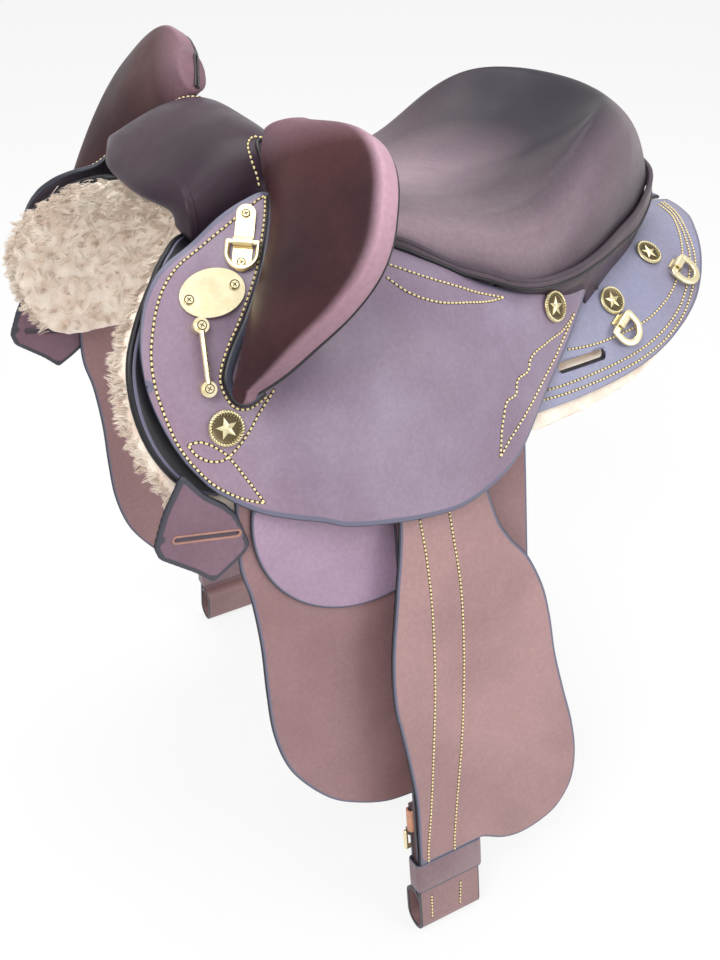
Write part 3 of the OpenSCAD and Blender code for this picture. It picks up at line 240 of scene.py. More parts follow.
def seat_face(r, k):
    r, k = np.broadcast_arrays(np.asarray(r, float), k)
    edge, crest = seat_at(k, 1), seat_at(k, 4)
    low = np.array((0, SEAT_MID_Y, SEAT_LOW))
    inner = low + (crest - low) * np.stack((r, r, r * r), -1)
    q = np.clip(r - 1, 0, 1)[..., None]
    w = (crest - edge)[..., 2:] * SEAT_SWELL * np.sin(np.pi * q)
    out = unit(stack(edge[..., 0], edge[..., 1] - SEAT_MID_Y, 1.0))
    outer = mix(crest, edge, q) + w * stack(out[..., 0], out[..., 1], 1.0)
    return np.where((r <= 1)[..., None], inner, outer)


def seat_under(r, k):
    p = seat_face(r, k)
    q = np.clip(np.asarray(r, float) - 1, 0, 1)
    t = SEAT_T * mix(1, SEAT_EDGE, np.minimum(1, r))
    o = unit(stack(p[..., 0], p[..., 1] - SEAT_MID_Y, 0.0))
    return p - stack(o[..., 0] * t * q, o[..., 1] * t * q, t * (1 - q * (1 - SEAT_EDGE)))


def pad_place(p):
    return np.array((p[0] * HALF_W, p[1] * HALF_LEN, p[2] * FORK_TOP))


PAD_AT = pad_place(PAD_CORNER)
PAD_BASE = pad_place(PAD_END) - PAD_AT
PAD_FACE = unit(np.cross(PAD_RISE, PAD_BASE))


# Powers that square the knee pad's section at its top and foot, and how much thinner its two ends are
PAD_TOP, PAD_FOOT_UP, PAD_FOOT_OUT, PAD_THIN = 0.42, 0.6, 0.85, (0.2, 0.55)


# A place on the knee pad, from a share along its base and an angle round its section
def pad_pt(k, a, grow=0.0):
    c, s = np.cos(a), np.sin(a)
    u = 0.5 + power(c, np.where(c > 0, PAD_TOP, PAD_FOOT_UP)) / 2
    s = power(s, np.where(c > 0, PAD_TOP, PAD_FOOT_OUT))
    waist = 1 - np.abs(2 * np.clip(k, 0, 1) - 1) ** 6 * np.where(np.asarray(k) < 0.5, *PAD_THIN)
    n = s * (PAD_T / 2 + PAD_CROWN * np.sin(np.pi * u) + grow) * waist - PAD_T / 2
    h = mix(smooth(PAD, k, 1), smooth(PAD, k, 2), u) * PAD_H + grow * np.sign(u - 0.5)
    k, h, n = (np.asarray(v, float)[..., None] for v in np.broadcast_arrays(k, h, n))
    return PAD_AT + PAD_BASE * k + PAD_RISE * h - PAD_FACE * n


# Places on the fender's leaning plane and on the sweat flap's
def hang_pt(x, y, z):
    c, s = math.cos(LEAN), math.sin(LEAN)
    return stack(HANG_X + x * c - z * s, y - HANG_Y, x * s + z * c - HANG_Z)


def flap_pt(x, y, z):
    a = math.atan(FLAP_RUN)
    c, s = math.cos(a), math.sin(a)
    return stack(HALF_W + 2.4 * GAP + x * c - z * s, y, RIDGE[0] - FALL[0] + x * s + z * c)


# Meshes
def mesh_of(name, co, faces):
    me = bpy.data.meshes.new(name)
    me.from_pydata((np.asarray(co, float) * MM).tolist(), [], [list(map(int, f)) for f in faces])
    bm = bmesh.new()
    bm.from_mesh(me)
    bmesh.ops.recalc_face_normals(bm, faces=bm.faces)
    bm.to_mesh(me)
    bm.free()
    return me


def make(name, co, faces, material, body, slot, nodes=(), attrs=None):
    me = mesh_of(name, co, faces)
    me.polygons.foreach_set("use_smooth", [True] * len(me.polygons))
    for key, values in (attrs or {}).items():
        me.attributes.new(key, "FLOAT", "POINT").data.foreach_set("value", np.asarray(values, float))
    me.materials.append(material)
    ob = bpy.data.objects.new(name, me)
    bpy.context.scene.collection.objects.link(ob)
    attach(ob, body)
    if nodes:
        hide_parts(*nodes)
    return ob


def one(name, shape, material, slot, nodes=()):
    co, faces, attrs = shape
    return make(name, co, faces, material, "saddle", slot, nodes, attrs)


# A piece for each side, the off side as a mirror image
def pair(name, shape, material, slot, nodes=(), body="saddle"):
    co, faces, attrs = shape
    made = []
    for side, sign in (("near", 1), ("off", -1)):
        at = body.replace("SIDE", side)
        made.append(make(name + "_" + side, np.asarray(co) * (sign, 1, 1), faces, material, at, slot,
            [n.replace("SIDE", side) for n in nodes], attrs))
    return made


def join(shapes):
    cos, faces, attrs, n = [], [], {}, 0
    for co, fs, at in shapes:
        cos.append(np.asarray(co))
        faces += [[i + n for i in f] for f in fs]
        for key, v in at.items():
            attrs.setdefault(key, []).append(v)
        n += len(co)
    return np.concatenate(cos), faces, {k: np.concatenate(v) for k, v in attrs.items()}


def quads(idx, close=False):
    a = np.asarray(idx)
    if close:
        a = np.concatenate((a, a[:, :1]), 1)
    return np.stack((a[:-1, :-1], a[1:, :-1], a[1:, 1:], a[:-1, 1:]), -1).reshape(-1, 4).tolist()


def grid(rows, cols):
    return np.arange(rows * cols).reshape(rows, cols)


# Sides of a row of rings, with both ends closed
def capped(idx):
    return quads(idx, True) + [idx[0].tolist(), idx[-1][::-1].tolist()]


# Sides of a row of rings that comes back to its first ring
def looped(idx):
    return quads(np.concatenate((idx, idx[:1])), True)


# Steps from 0 to 1 that crowd together near both ends
def steps(n, rim=(0, 0.0015, 0.004, 0.008, 0.014, 0.022)):
    rim = np.array(rim)
    return np.concatenate((rim, np.linspace(rim[-1] * 1.6, 1 - rim[-1] * 1.6, n), 1 - rim[::-1]))


# Bent leather sheet with rounded edges, on a surface given by two shares and a depth
def sheet(fn, us, vs, t, tint=None):
    u, v = np.meshgrid(us, vs, indexing="ij")
    p = fn(u, v, 0 * u)

    def rim(axis):
        run = np.cumsum(np.linalg.norm(np.diff(p, axis=axis), axis=2), axis=axis)
        run = np.concatenate((np.zeros_like(np.take(run, [0], axis)), run), axis)
        return np.minimum(run, np.take(run, [-1], axis) - run)

    e = np.minimum(rim(0), rim(1))
    h = round_edge(e, t / 2)
    top, low = fn(u, v, h - t / 2), fn(u, v, -h - t / 2)
    n = u.size
    idx = grid(*u.shape)
    inner = np.zeros(u.shape, bool)
    inner[1:-1, 1:-1] = True
    under = idx.copy()
    under[inner] = n + np.arange(inner.sum())
    co = np.concatenate((top.reshape(-1, 3), low[inner]))
    attrs = {"rim": np.concatenate((e.ravel(), e[inner])) * MM}
    if tint is not None:
        w = tint(u, v)
        attrs["tint"] = np.concatenate((w.ravel(), w[inner]))
    return co, quads(idx) + [f[::-1] for f in quads(under)], attrs


def resample(p, step, closed=False):
    p = np.asarray(p, float)
    if closed:
        p = np.concatenate((p, p[:1]))
    run = np.concatenate(([0], np.cumsum(np.linalg.norm(np.diff(p, axis=0), axis=1))))
    n = max(3, int(round(run[-1] / step)))
    at = np.linspace(0, run[-1], n + 1)[:n if closed else n + 1]
    return np.stack([np.interp(at, run, p[:, i]) for i in range(p.shape[1])], 1)


# How much narrower a slot's burnished border is, the inset rings of a leaf's edge, and steps along its rims
SLOT_BURNISH, RIM_RINGS, RIM_STEP, SLOT_STEP = 4.0, (0.1, 0.32, 0.65, 1.0), 0.3, 1.5


# Flat leather leaf with rounded edges, from closed outlines in its plane
def leaf(outlines, t, place, cell=9, corner=3):
    verts, edges, ring_pts, rims = [], [], [], []
    r = t / 2
    for hole, line in enumerate(outlines):
        line = resample(line, SLOT_STEP if hole else corner, True)
        area = np.sum(line[:, 0] * np.roll(line[:, 1], -1) - np.roll(line[:, 0], -1) * line[:, 1])
        tangent = loop_tangent(line)
        inward = np.stack((-tangent[:, 1], tangent[:, 0]), 1) * np.sign(area) * (-1 if hole else 1)
        n = len(verts)
        verts += line.tolist()
        edges += [(n + i, n + (i + 1) % len(line)) for i in range(len(line))]
        rims.append(resample(line, RIM_STEP, True))
        ring_pts += [(line + inward * r * q, r * q) for q in RIM_RINGS]
    outer = len(rims[0])
    rims = np.concatenate(rims)
    tree = KDTree(len(rims))
    for i, q in enumerate(rims):
        tree.insert((q[0], q[1], 0), i)
    tree.balance()

    def far(q):
        return tree.find((q[0], q[1], 0))[2]

    for points, e in ring_pts:
        verts += [q.tolist() for q in points if far(q) > 0.8 * e]
    lo, hi = rims.min(0), rims.max(0)
    for y in np.arange(lo[0], hi[0], cell):
        for z in np.arange(lo[1], hi[1], cell):
            if far((y, z)) > r + 0.35 * cell:
                verts.append([y, z])
    flat, _, faces, _, _, _ = delaunay_2d_cdt([Vector(q) for q in verts], edges, [],
        4 if len(outlines) > 1 else 1, 1e-5)
    flat = np.array([tuple(q) for q in flat])
    e = np.array([far(q) for q in flat])
    e[e < 0.05] = 0
    near_slot = np.array([tree.find((q[0], q[1], 0))[1] >= outer for q in flat])
    h = round_edge(e, r)
    n = len(flat)
    under = np.where(e == 0, np.arange(n), 0)
    inner = e > 0
    under[inner] = n + np.arange(inner.sum())
    co = np.concatenate((place(r + h, flat[:, 0], flat[:, 1]), place(r - h, flat[:, 0], flat[:, 1])[inner]))
    faces = [list(f) for f in faces]
    shown = e + np.where(near_slot, SLOT_BURNISH, 0)
    attrs = {"rim": np.concatenate((shown, shown[inner])) * MM}
    return co, faces + [[under[i] for i in f[::-1]] for f in faces], attrs


# Round bar along a row of points
def tube(points, r, sides=10, closed=False, up=(0, 0, 1.0)):
    p = np.asarray(points, float)
    n = len(p)
    t = loop_tangent(p) if closed else unit(np.gradient(p, axis=0))
    x = unit(np.cross(t, up))
    y = np.cross(x, t)
    a = turns_of(sides)
    r = np.broadcast_to(np.asarray(r, float), n)[:, None, None]
    rings = p[:, None] + r * (x[:, None] * np.cos(a)[:, None] + y[:, None] * np.sin(a)[:, None])
    idx = grid(n, sides)
    return rings.reshape(-1, 3), looped(idx) if closed else capped(idx), {}


# Evenly spaced points of a row on a face, with their outward directions
def even_row(points, normals, step):
    both = resample(np.concatenate((points, normals), 1), step)
    return both[:, :3], unit(both[:, 3:])


# A stitch: its length, pitch and thread, and how it swells and arches along its length
STITCH, PITCH, THREAD_R = 3.1, 4.3, 0.92
STITCH_AT = np.array((-1, -0.75, -0.25, 0.25, 0.75, 1))
STITCH_SWELL = np.array((0.35, 0.85, 1, 1, 0.85, 0.35))
STITCH_ARCH = 0.45 * np.array((-0.9, 0.3, 1, 1, 0.3, -0.9))
THREAD_SIDES = 6


# Row of sewn stitches on a face
def sewn(points, normals):
    p, up = even_row(points, normals, PITCH)
    a, b = p[:-1], p[1:]
    along = unit(b - a)
    mid, up = (a + b) / 2, unit(up[:-1] + up[1:])
    side = np.cross(along, up)
    thick, ang = THREAD_R * STITCH_SWELL, turns_of(THREAD_SIDES)
    shape = (mid[:, None, None] + along[:, None, None] * (STITCH_AT * STITCH / 2)[:, None, None]
        + side[:, None, None] * (thick[:, None] * np.cos(ang))[..., None]
        + up[:, None, None] * (STITCH_ARCH[:, None] + thick[:, None] * np.sin(ang))[..., None])
    faces = []
    for one in grid(len(mid), len(STITCH_AT) * THREAD_SIDES):
        faces += capped(one.reshape(-1, THREAD_SIDES))
    return shape.reshape(-1, 3), faces, {}


# Dark strip that a row of stitches lies in, painted shade of the stitch holes and groove
def groove_shade(points, normals, width=1.05, lift=0.16, sunk=-0.3, step=3):
    p, up = even_row(points, normals, step)
    side = np.cross(unit(np.gradient(p, axis=0)), up)
    rows = [p + side * s * width + up * h for s, h in ((-1, sunk), (-1, lift), (1, lift), (1, sunk))]
    return np.stack(rows).reshape(-1, 3), capped(grid(4, len(p)).T), {}


# Places on the faces: a row of points with their outward directions
def on_face(fn, rows, n=8):
    line = curve(rows, n)
    u, v = line[:, 0], line[:, 1]
    e = 1e-3
    p = fn(u, v)
    up = unit(np.cross(fn(u, v + e) - p, fn(u + e, v) - p))
    return p, up


def jockey_row(rows, n=8):
    return on_face(lambda k, s: jockey(s, k * HALF_LEN, 0 * s), rows, n)


def skirt_row(rows, n=8, length=HALF_LEN):
    return on_face(lambda k, x: skin(x * HALF_W, k * length, 0 * x), rows, n)


def fork_row(rows):
    p, up = on_face(lambda t, v: arch(np.radians(t), v, 0 * v), rows)
    return p, up * np.sign(up[:, 2:] + 1e-9)


def flat_row(place, out, rows):
    line = curve(rows, 8)
    p = place(out, line[:, 0], line[:, 1])
    up = unit(place(out + 1, line[:, 0], line[:, 1]) - p)
    return p, up


# Frame that stands on a face, turned about its outward direction
def stand(p, up, turn):
    a = math.atan2(up[1], up[0])
    return (Matrix.Translation(Vector(p)) @ Matrix.Rotation(a, 4, "Z")
        @ Matrix.Rotation(math.acos(up[2]), 4, "Y") @ Matrix.Rotation(turn - a, 4, "Z"))


def moved(shape, m):
    m = np.array(m)
    co, faces, attrs = shape
    return np.asarray(co) @ m[:3, :3].T + m[:3, 3], faces, attrs


# Materials
def srgb(r, g, b):
    lin = [c / 255 for c in (r, g, b)]
    return tuple(c / 12.92 if c <= 0.04045 else ((c + 0.055) / 1.055) ** 2.4 for c in lin) + (1,)


# A material's node tree, built up call by call
class Nodes:
    def __init__(self, name):
        self.material = bpy.data.materials.new(name)
        self.material.use_nodes = True
        self.tree = self.material.node_tree
        self.shader = self.tree.nodes["Principled BSDF"]
        self.coords = self.tree.nodes.new("ShaderNodeTexCoord").outputs["Object"]

    def put(self, socket, value):
        if isinstance(value, bpy.types.NodeSocket):
            self.tree.links.new(value, socket)
        else:
            socket.default_value = value

    def node(self, kind, out=0, settings=(), **inputs):
        n = self.tree.nodes.new(kind)
        for key, value in settings:
            setattr(n, key, value)
        for key, value in inputs.items():
            self.put(n.inputs[key.replace("_", " ")], value)
        return n.outputs[out]

    def noise(self, scale, detail=3.0, rough=0.55, coords=None):
        return self.node("ShaderNodeTexNoise", Vector=coords or self.coords, Scale=scale, Detail=detail,
            Roughness=rough)

    def ramp(self, value, low, high, to_low=0.0, to_high=1.0):
        return self.node("ShaderNodeMapRange", 0, (("interpolation_type", "SMOOTHSTEP"),), Value=value,
            From_Min=low, From_Max=high, To_Min=to_low, To_Max=to_high)

    def colours(self, fac, a, b, kind="MIX"):
        n = self.tree.nodes.new("ShaderNodeMix")
        n.data_type, n.blend_type = "RGBA", kind
        self.put(n.inputs[0], fac)
        self.put(n.inputs[6], a)
        self.put(n.inputs[7], b)
        return n.outputs[2]

    def attribute(self, name):
        return self.node("ShaderNodeAttribute", "Fac", (("attribute_name", name),))

    def math(self, a, b, kind="ADD"):
        n = self.tree.nodes.new("ShaderNodeMath")
        n.operation = kind
        self.put(n.inputs[0], a)
        self.put(n.inputs[1], b)
        return n.outputs[0]

    def bump(self, height, strength, distance):
        bumped = self.node("ShaderNodeBump", Strength=strength, Distance=distance, Height=height)
        self.put(self.shader.inputs["Normal"], bumped)

    def finish(self, **inputs):
        for key, value in inputs.items():
            self.put(self.shader.inputs[key.replace("_", " ")], value)
        return self.material


# Colours of a leather's cut edge and of the bevel beside it
EDGE = srgb(44, 45, 56)
BEVEL = srgb(104, 103, 124)


# Leather: mottled colour, pores, and burnished darker edges where a piece has a rim
def leather(name, base, deep, rough=0.42, edge=EDGE, bevel=BEVEL, rim=None, tint=None, grain=0.12,
        swell=1.6, strap=None, shine=0.5):
    n = Nodes(name)
    cloud = n.ramp(n.noise(7.0, 4.0), 0.35, 0.68)
    colour = n.colours(cloud, srgb(*base), srgb(*deep))
    # A second colour laid on by the tint attribute: painted highlights and shade on the seat, pads and
    # jockeys, and on the skirts a dark front band widened with painted shade
    if tint:
        colour = n.colours(n.attribute("tint"), colour, srgb(*tint))
    speck = n.ramp(n.noise(240.0, 2.0), 0.3, 0.75, 0.93, 1.05)
    colour = n.colours(1.0, colour, speck, "MULTIPLY")
    if rim:
        away = n.attribute("rim")
        border = n.colours(n.ramp(away, 0.5 * MM, 1.7 * MM), edge, bevel)
        colour = n.colours(n.ramp(away, rim[0] * MM, rim[1] * MM), border, colour)
    if strap:
        place = n.node("ShaderNodeSeparateXYZ", 1, Vector=n.coords)
        side = n.math(n.math(place, HANG_Y * MM), 0.0, "ABSOLUTE")
        colour = n.colours(n.ramp(side, (strap - 1.6) * MM, (strap - 0.3) * MM), colour, edge)
    cell = n.node("ShaderNodeTexVoronoi", 0, (("feature", "F1"),), Vector=n.coords, Scale=620.0)
    crease = n.noise(1500.0, 2.0)
    height = n.math(cell, crease)
    if swell:
        height = n.math(height, n.math(n.noise(38.0, 2.0), swell, "MULTIPLY"))
    n.bump(height, grain, 0.0006)
    gloss = n.ramp(n.noise(26.0, 3.0), 0.3, 0.7, rough - 0.05, rough + 0.07)
    return n.finish(Base_Color=colour, Roughness=gloss, Specular_IOR_Level=shine)


def metal(name, base, dark, rough=0.24, recess=None):
    n = Nodes(name)
    colour = n.colours(n.ramp(n.noise(90.0, 3.0), 0.4, 0.75), srgb(*base), srgb(*dark))
    if recess:
        colour = n.colours(n.attribute("tint"), colour, srgb(*recess))
    scratch = n.node("ShaderNodeMapping", Vector=n.coords, Scale=(900.0, 140.0, 140.0))
    n.bump(n.noise(1.0, 2.0, coords=scratch), 0.05, 0.0002)
    gloss = n.ramp(n.noise(60.0, 3.0), 0.3, 0.75, rough - 0.05, rough + 0.05)
    return n.finish(Base_Color=colour, Roughness=gloss, Metallic=1.0)


def wood(name, base, dark):
    n = Nodes(name)
    grain = n.node("ShaderNodeMapping", Vector=n.coords, Scale=(90.0, 9.0, 90.0))
    streak = n.noise(1.0, 5.0, 0.6, grain)
    colour = n.colours(n.ramp(streak, 0.35, 0.65), srgb(*base), srgb(*dark))
    n.bump(streak, 0.2, 0.0008)
    return n.finish(Base_Color=colour, Roughness=0.62)


def wool(name, base, dark):
    n = Nodes(name)
    colour = n.colours(n.ramp(n.noise(55.0, 4.0), 0.35, 0.7), srgb(*base), srgb(*dark))
    n.bump(n.math(n.noise(150.0, 3.0), n.noise(600.0, 3.0)), 0.35, 0.0012)
    return n.finish(Base_Color=colour, Roughness=0.95, Sheen_Weight=0.35, Sheen_Roughness=0.5)


def yarn(name, base, dark):
    n = Nodes(name)
    twist = n.node("ShaderNodeTexWave", 0, (("wave_type", "BANDS"), ("bands_direction", "DIAGONAL")),
        Vector=n.coords, Scale=900.0, Distortion=1.5)
    colour = n.colours(n.ramp(twist, 0.2, 0.8), srgb(*dark), srgb(*base))
    n.bump(twist, 0.3, 0.0002)
    return n.finish(Base_Color=colour, Roughness=0.6)


# The pale lilac of the jockeys and half moons and the blue of the skirts are painted sheen over dark brown
# leather; the seat's pale base and the pads' pink second colour are painted highlights
JOCKEY_MAT = leather("jockey_leather", (146, 133, 153), (128, 110, 130), 0.38, rim=(4.6, 6.2),
    tint=(150, 122, 138))
SKIRT_MAT = leather("skirt_leather", (138, 138, 164), (130, 124, 142), 0.38, rim=(3.6, 5.0),
    tint=(24, 23, 29))
SEAT_MAT = leather("seat_leather", (156, 135, 145), (136, 117, 128), 0.36, grain=0.05, swell=0,
    tint=(46, 41, 50), shine=0.18)
PAD_MAT = leather("pad_leather", (76, 45, 47), (50, 31, 35), 0.42, grain=0.06, swell=0,
    tint=(188, 150, 166), shine=0.14)
FORK_MAT = leather("fork_leather", (62, 45, 57), (52, 39, 49), 0.36, grain=0.06, swell=0, shine=0.2)
FENDER_MAT = leather("fender_leather", (166, 131, 130), (150, 117, 117), 0.45, rim=(2.6, 3.8))
FLAP_MAT = leather("flap_leather", (150, 116, 118), (138, 104, 106), 0.48, rim=(2.4, 3.6))
MOON_MAT = leather("moon_leather", (168, 142, 166), (154, 128, 148), 0.45, rim=(2.0, 3.0))
LATIGO_MAT = leather("latigo_leather", (124, 95, 110), (107, 80, 93), 0.42, rim=(3.6, 5.2),
    bevel=srgb(62, 61, 72))
STRAP_MAT = leather("strap_leather", (148, 117, 117), (132, 103, 105), 0.45, strap=STRAP_W / 2)
KEEPER_MAT = leather("keeper_leather", (142, 120, 125), (124, 100, 106), 0.44, rim=(1.6, 3.0))
TAN_MAT = leather("tan_leather", (210, 156, 128), (192, 136, 106), 0.5)
SLOT_MAT = leather("slot_leather", (176, 132, 118), (148, 106, 96), 0.5)
BLACK_MAT = leather("black_leather", (32, 30, 36), (24, 23, 28), 0.4, shine=0.35)
WELT_MAT = leather("welt_leather", (70, 71, 88), (58, 59, 74), 0.4, rim=(1.6, 2.8), edge=srgb(22, 22, 28),
    bevel=srgb(30, 30, 38))
BACK_MAT = leather("back_leather", (84, 70, 80), (72, 58, 68), 0.4)
PIPING_MAT = leather("piping_leather", (30, 28, 34), (22, 21, 26), 0.34)
GROOVE_SHADE_MAT = leather("groove_shade_leather", (30, 23, 26), (22, 17, 20), 0.6)
THREAD_MAT = yarn("gold_thread", (255, 240, 190), (236, 208, 138))
FLEECE_MAT = wool("sheepskin", (254, 242, 227), (238, 217, 199))
BRASS_MAT = metal("bright_brass", (250, 238, 200), (246, 230, 186), 0.3)
CLIP_MAT = metal("satin_brass", (226, 206, 160), (214, 192, 142), 0.36)
# Dark colour of the screw marks, painted shade
SCREW_SHADE_MAT = metal("screw_slot_shade", (92, 76, 54), (68, 56, 40), 0.45)
ANTIQUE_MAT = metal("antique_brass", (236, 226, 186), (206, 190, 142), 0.34, (104, 92, 70))
STEEL_MAT = metal("plain_steel", (168, 168, 172), (130, 130, 136), 0.34)
WOOD_MAT = wood("tree_wood", (150, 112, 78), (120, 84, 56))
# Dark wood of the tree, fork and cantle board, as painted shade where it shows in the gap under the seat
TREE_SHADE_MAT = wood("shade_dark_tree", (62, 50, 50), (46, 37, 38))

# Skirts with a black band along the front: the skirt's own dark edge, widened with painted shade where the
# skirt lies in shadow beside the jockey
def skirt_fn(grow):
    def fn(u, v, d):
        x = mix(SKIRT[0][0], 1, u)
        front = smooth(SKIRT, x, 1) * HALF_LEN - grow
        rear = smooth(SKIRT, x, 2) * REAR_LEN + grow
        return skin(x * HALF_W + grow * np.clip((u - 0.9) * 10, 0, 1), mix(front, rear, v), d)
    return fn


# Width of the skirt's black front band with its painted shade, its rolled edge, and the place of the strap
# slot
BAND_WITH_SHADE, ROLL_R, SLOT_AT = 34, 2.9, (0.905, 0.3615)


def front_band_and_shade(u, v):
    x = mix(SKIRT[0][0], 1, u)
    run = v * (smooth(SKIRT, x, 2) * REAR_LEN - smooth(SKIRT, x, 1) * HALF_LEN)
    return np.clip((BAND_WITH_SHADE - run) / 3, 0, 1) * (x > 0.3)


# Cut the strap slot to a depth on both sides of the skirt's face
def cut_slot(ob, depth, sign, n=32):
    p = skin(np.float64(SLOT_AT[0] * HALF_W), np.float64(SLOT_AT[1] * REAR_LEN), 0.0)
    y, z = slot_line(SLOT_LEN, SLOT_H, n)
    co = np.concatenate([stack(p[0] + s * depth, p[1] + y, p[2] + z) for s in (-1, 1)])
    tool = mesh_of("slot_cutter", co * (sign, 1, 1), capped(grid(2, n)))
    cutter = bpy.data.objects.new("slot_cutter", tool)
    bpy.context.scene.collection.objects.link(cutter)
    m = ob.modifiers.new("slot", "BOOLEAN")
    m.operation, m.object, m.solver = "DIFFERENCE", cutter, "EXACT"
    bpy.context.view_layer.objects.active = ob
    bpy.ops.object.modifier_apply(modifier=m.name)
    bpy.data.objects.remove(cutter)


skirts = pair("skirt_leather", sheet(skirt_fn(0), steps(70), steps(130), SKIRT_T, front_band_and_shade), SKIRT_MAT,
    "saddle_leather", ["skirt_SIDE"])

rolled = skirt_fn(0)(np.linspace(0.36, 0.985, 120), np.zeros(120), np.full(120, -SKIRT_T / 2))
pair("skirt_roll", tube(rolled, ROLL_R, 12, up=(1, 0, 0)), BLACK_MAT, "edge_leather")

# Fleece: a thick sheet with a tufted lower face and rims, in large tufts and small ones
TUFTS = ((3.4, 17.0), (1.3, 5.0))


def fleece_shape():
    fn = skirt_fn(FLEECE_OVER)
    top_d = -SKIRT_T - GAP
    us, vs = steps(120), steps(230)
    co, faces, attrs = sheet(lambda u, v, d: fn(u, v, d + top_d), us, vs, FLEECE_T)
    out = np.asarray(co).copy()
    away = np.asarray(attrs["rim"]) / MM
    middle = len(us) * len(vs)
    slope = slope_at(np.clip(out[:, 0], 0.05 * HALF_W, HALF_W), out[:, 1])
    down = -np.stack((slope, 0 * slope, 1 + 0 * slope), 1) / np.sqrt(1 + slope * slope)[:, None]
    for i, p in enumerate(out):
        if i < middle and away[i] > FLEECE_T / 2:
            continue
        puff = sum(high * noise.noise(Vector(p) / wide) for high, wide in TUFTS)
        co[i] = p + down[i] * puff
    return co, faces, {}


fleeces = pair("fleece_pad", fleece_shape(), FLEECE_MAT, "fleece", ["fleece_SIDE"])
SKIRT_CUT, FLEECE_CUT = 22, 60
for skirt, fleece, sign in zip(skirts, fleeces, (1, -1)):
    cut_slot(skirt, SKIRT_CUT, sign)
    cut_slot(fleece, FLEECE_CUT, sign)


# Strands of wool in curled locks over the fleece's lower face and its front rim
def strands(paths, radii, sides=3):
    n, m, _ = paths.shape
    t = unit(np.gradient(paths, axis=1))
    x = unit(np.cross(t, np.array((0.31, 0.17, 0.93))))
    y = np.cross(x, t)
    a = turns_of(sides)[:, None]
    r = radii[None, :, None, None]
    rings = paths[:, :, None] + r * (x[:, :, None] * np.cos(a) + y[:, :, None] * np.sin(a))
    idx = np.arange(n * m * sides).reshape(n, m, sides)
    idx = np.concatenate((idx, idx[:, :, :1]), 2)
    faces = np.stack((idx[:, :-1, :-1], idx[:, 1:, :-1], idx[:, 1:, 1:], idx[:, :-1, 1:]), -1)
    return rings.reshape(-1, 3), faces.reshape(-1, 4).tolist(), {}


# Strands in a lock, their radii from root to tip, their spread and curl, and the locks' lengths
LOCK_STRANDS, LOCK_SPREAD, LOCK_CURL, RIM_LOCK, FACE_LOCK = 8, 1.7, 1.5, (6, 11), (7, 12)
STRAND_R = np.array((0.3, 0.34, 0.32, 0.27, 0.2, 0.08))


def wool_locks(seed):
    rng = np.random.default_rng(seed)
    fn = skirt_fn(FLEECE_OVER)
    u, v = np.meshgrid(np.arange(0.08, 0.99, 0.032), np.arange(0.01, 0.99, 0.0125), indexing="ij")
    face = np.stack((u.ravel(), v.ravel(), np.full(u.size, FLEECE_T)), 1)
    rim_u = np.repeat(np.arange(0.3, 0.985, 0.0085), 4)
    rim = np.stack((rim_u, np.full(rim_u.size, 0.002), rng.uniform(1, FLEECE_T, rim_u.size)), 1)
    spots = np.concatenate((face, rim))
    is_rim = np.arange(len(spots)) >= len(face)
    spots[:, :2] += rng.uniform(-1, 1, (len(spots), 2)) * np.where(is_rim, 0.3, 1)[:, None] * (0.014, 0.006)
    spots[:, 1] = np.clip(spots[:, 1], 0.002, 0.995)
    d = -SKIRT_T - GAP - spots[:, 2]
    p = fn(spots[:, 0], spots[:, 1], d)
    down = unit(p - fn(spots[:, 0], spots[:, 1], d + 1))
    out = unit(fn(spots[:, 0], spots[:, 1] - 0.002, d) - fn(spots[:, 0], spots[:, 1] + 0.004, d))
    across = np.cross(down, out)
    lean = rng.uniform(-1, 1, (len(p), 2))
    aim = np.where(is_rim[:, None], out + 0.45 * lean[:, :1] * across + 0.35 * lean[:, 1:] * down,
        0.3 * down + 0.8 * lean[:, :1] * across + 0.8 * lean[:, 1:] * out)
    aim = unit(aim)
    reach = np.where(is_rim, rng.uniform(*RIM_LOCK, len(p)), rng.uniform(*FACE_LOCK, len(p)))
    t = np.linspace(0, 1, len(STRAND_R))
    curl = rng.uniform(0, 2 * math.pi, len(p))[:, None] + t * rng.uniform(1.5, 4.0, len(p))[:, None]
    paths = []
    bend = (across[:, None] * np.cos(curl)[..., None] + down[:, None] * np.sin(curl)[..., None]) * LOCK_CURL
    for _ in range(LOCK_STRANDS):
        spread = rng.normal(0, LOCK_SPREAD, (len(p), 3))
        line = p[:, None] + aim[:, None] * (t * reach[:, None] - 1.0)[..., None] + bend * t[:, None]
        paths.append(line + spread[:, None] * (1 - 0.6 * t)[:, None])
    return strands(np.concatenate(paths), STRAND_R)


WOOL_SEED = 5
pair("fleece_wool", wool_locks(WOOL_SEED), FLEECE_MAT, "fleece")

# Jockeys
def jockey_fn(u, v, d):
    return jockey(u, HALF_LEN * mix(JOCKEY[0][0], JOCKEY[-1][0], v), d)


# Painted light: the jockey's pale lilac sheen fades to a warmer pink towards its front and its lower edge
def jockey_painted_sheen_fade(u, v):
    return np.clip(0.8 - 3.2 * v, 0, 1) * 0.7 + np.clip(u * 2 - 1.2, 0, 1) * 0.35


pair("jockey_leather", sheet(jockey_fn, steps(80), steps(150), JOCKEY_T, jockey_painted_sheen_fade), JOCKEY_MAT,
    "saddle_leather", ["jockey_SIDE"])

# Fork cover
cover = sheet(lambda u, v, d: arch(math.pi * (1 - u), v, -d), steps(110), steps(40), COVER_T)
one("fork_cover_leather", cover, FORK_MAT, "seat_leather", ["fork_cover"])

# Section of the fork's lip: how far ahead of the fork and how deep, and its reach forward at the feet
LIP = [(-7, -0.3), (-3.5, -0.4), (0, -0.3), (6, 3), (12, 6.8), (17, 11), (20, 15), (20.6, 18), (19, 20.6),
    (14, 21.6), (0, 21.6), (-1, 11)]
LIP_FEET = 0.25


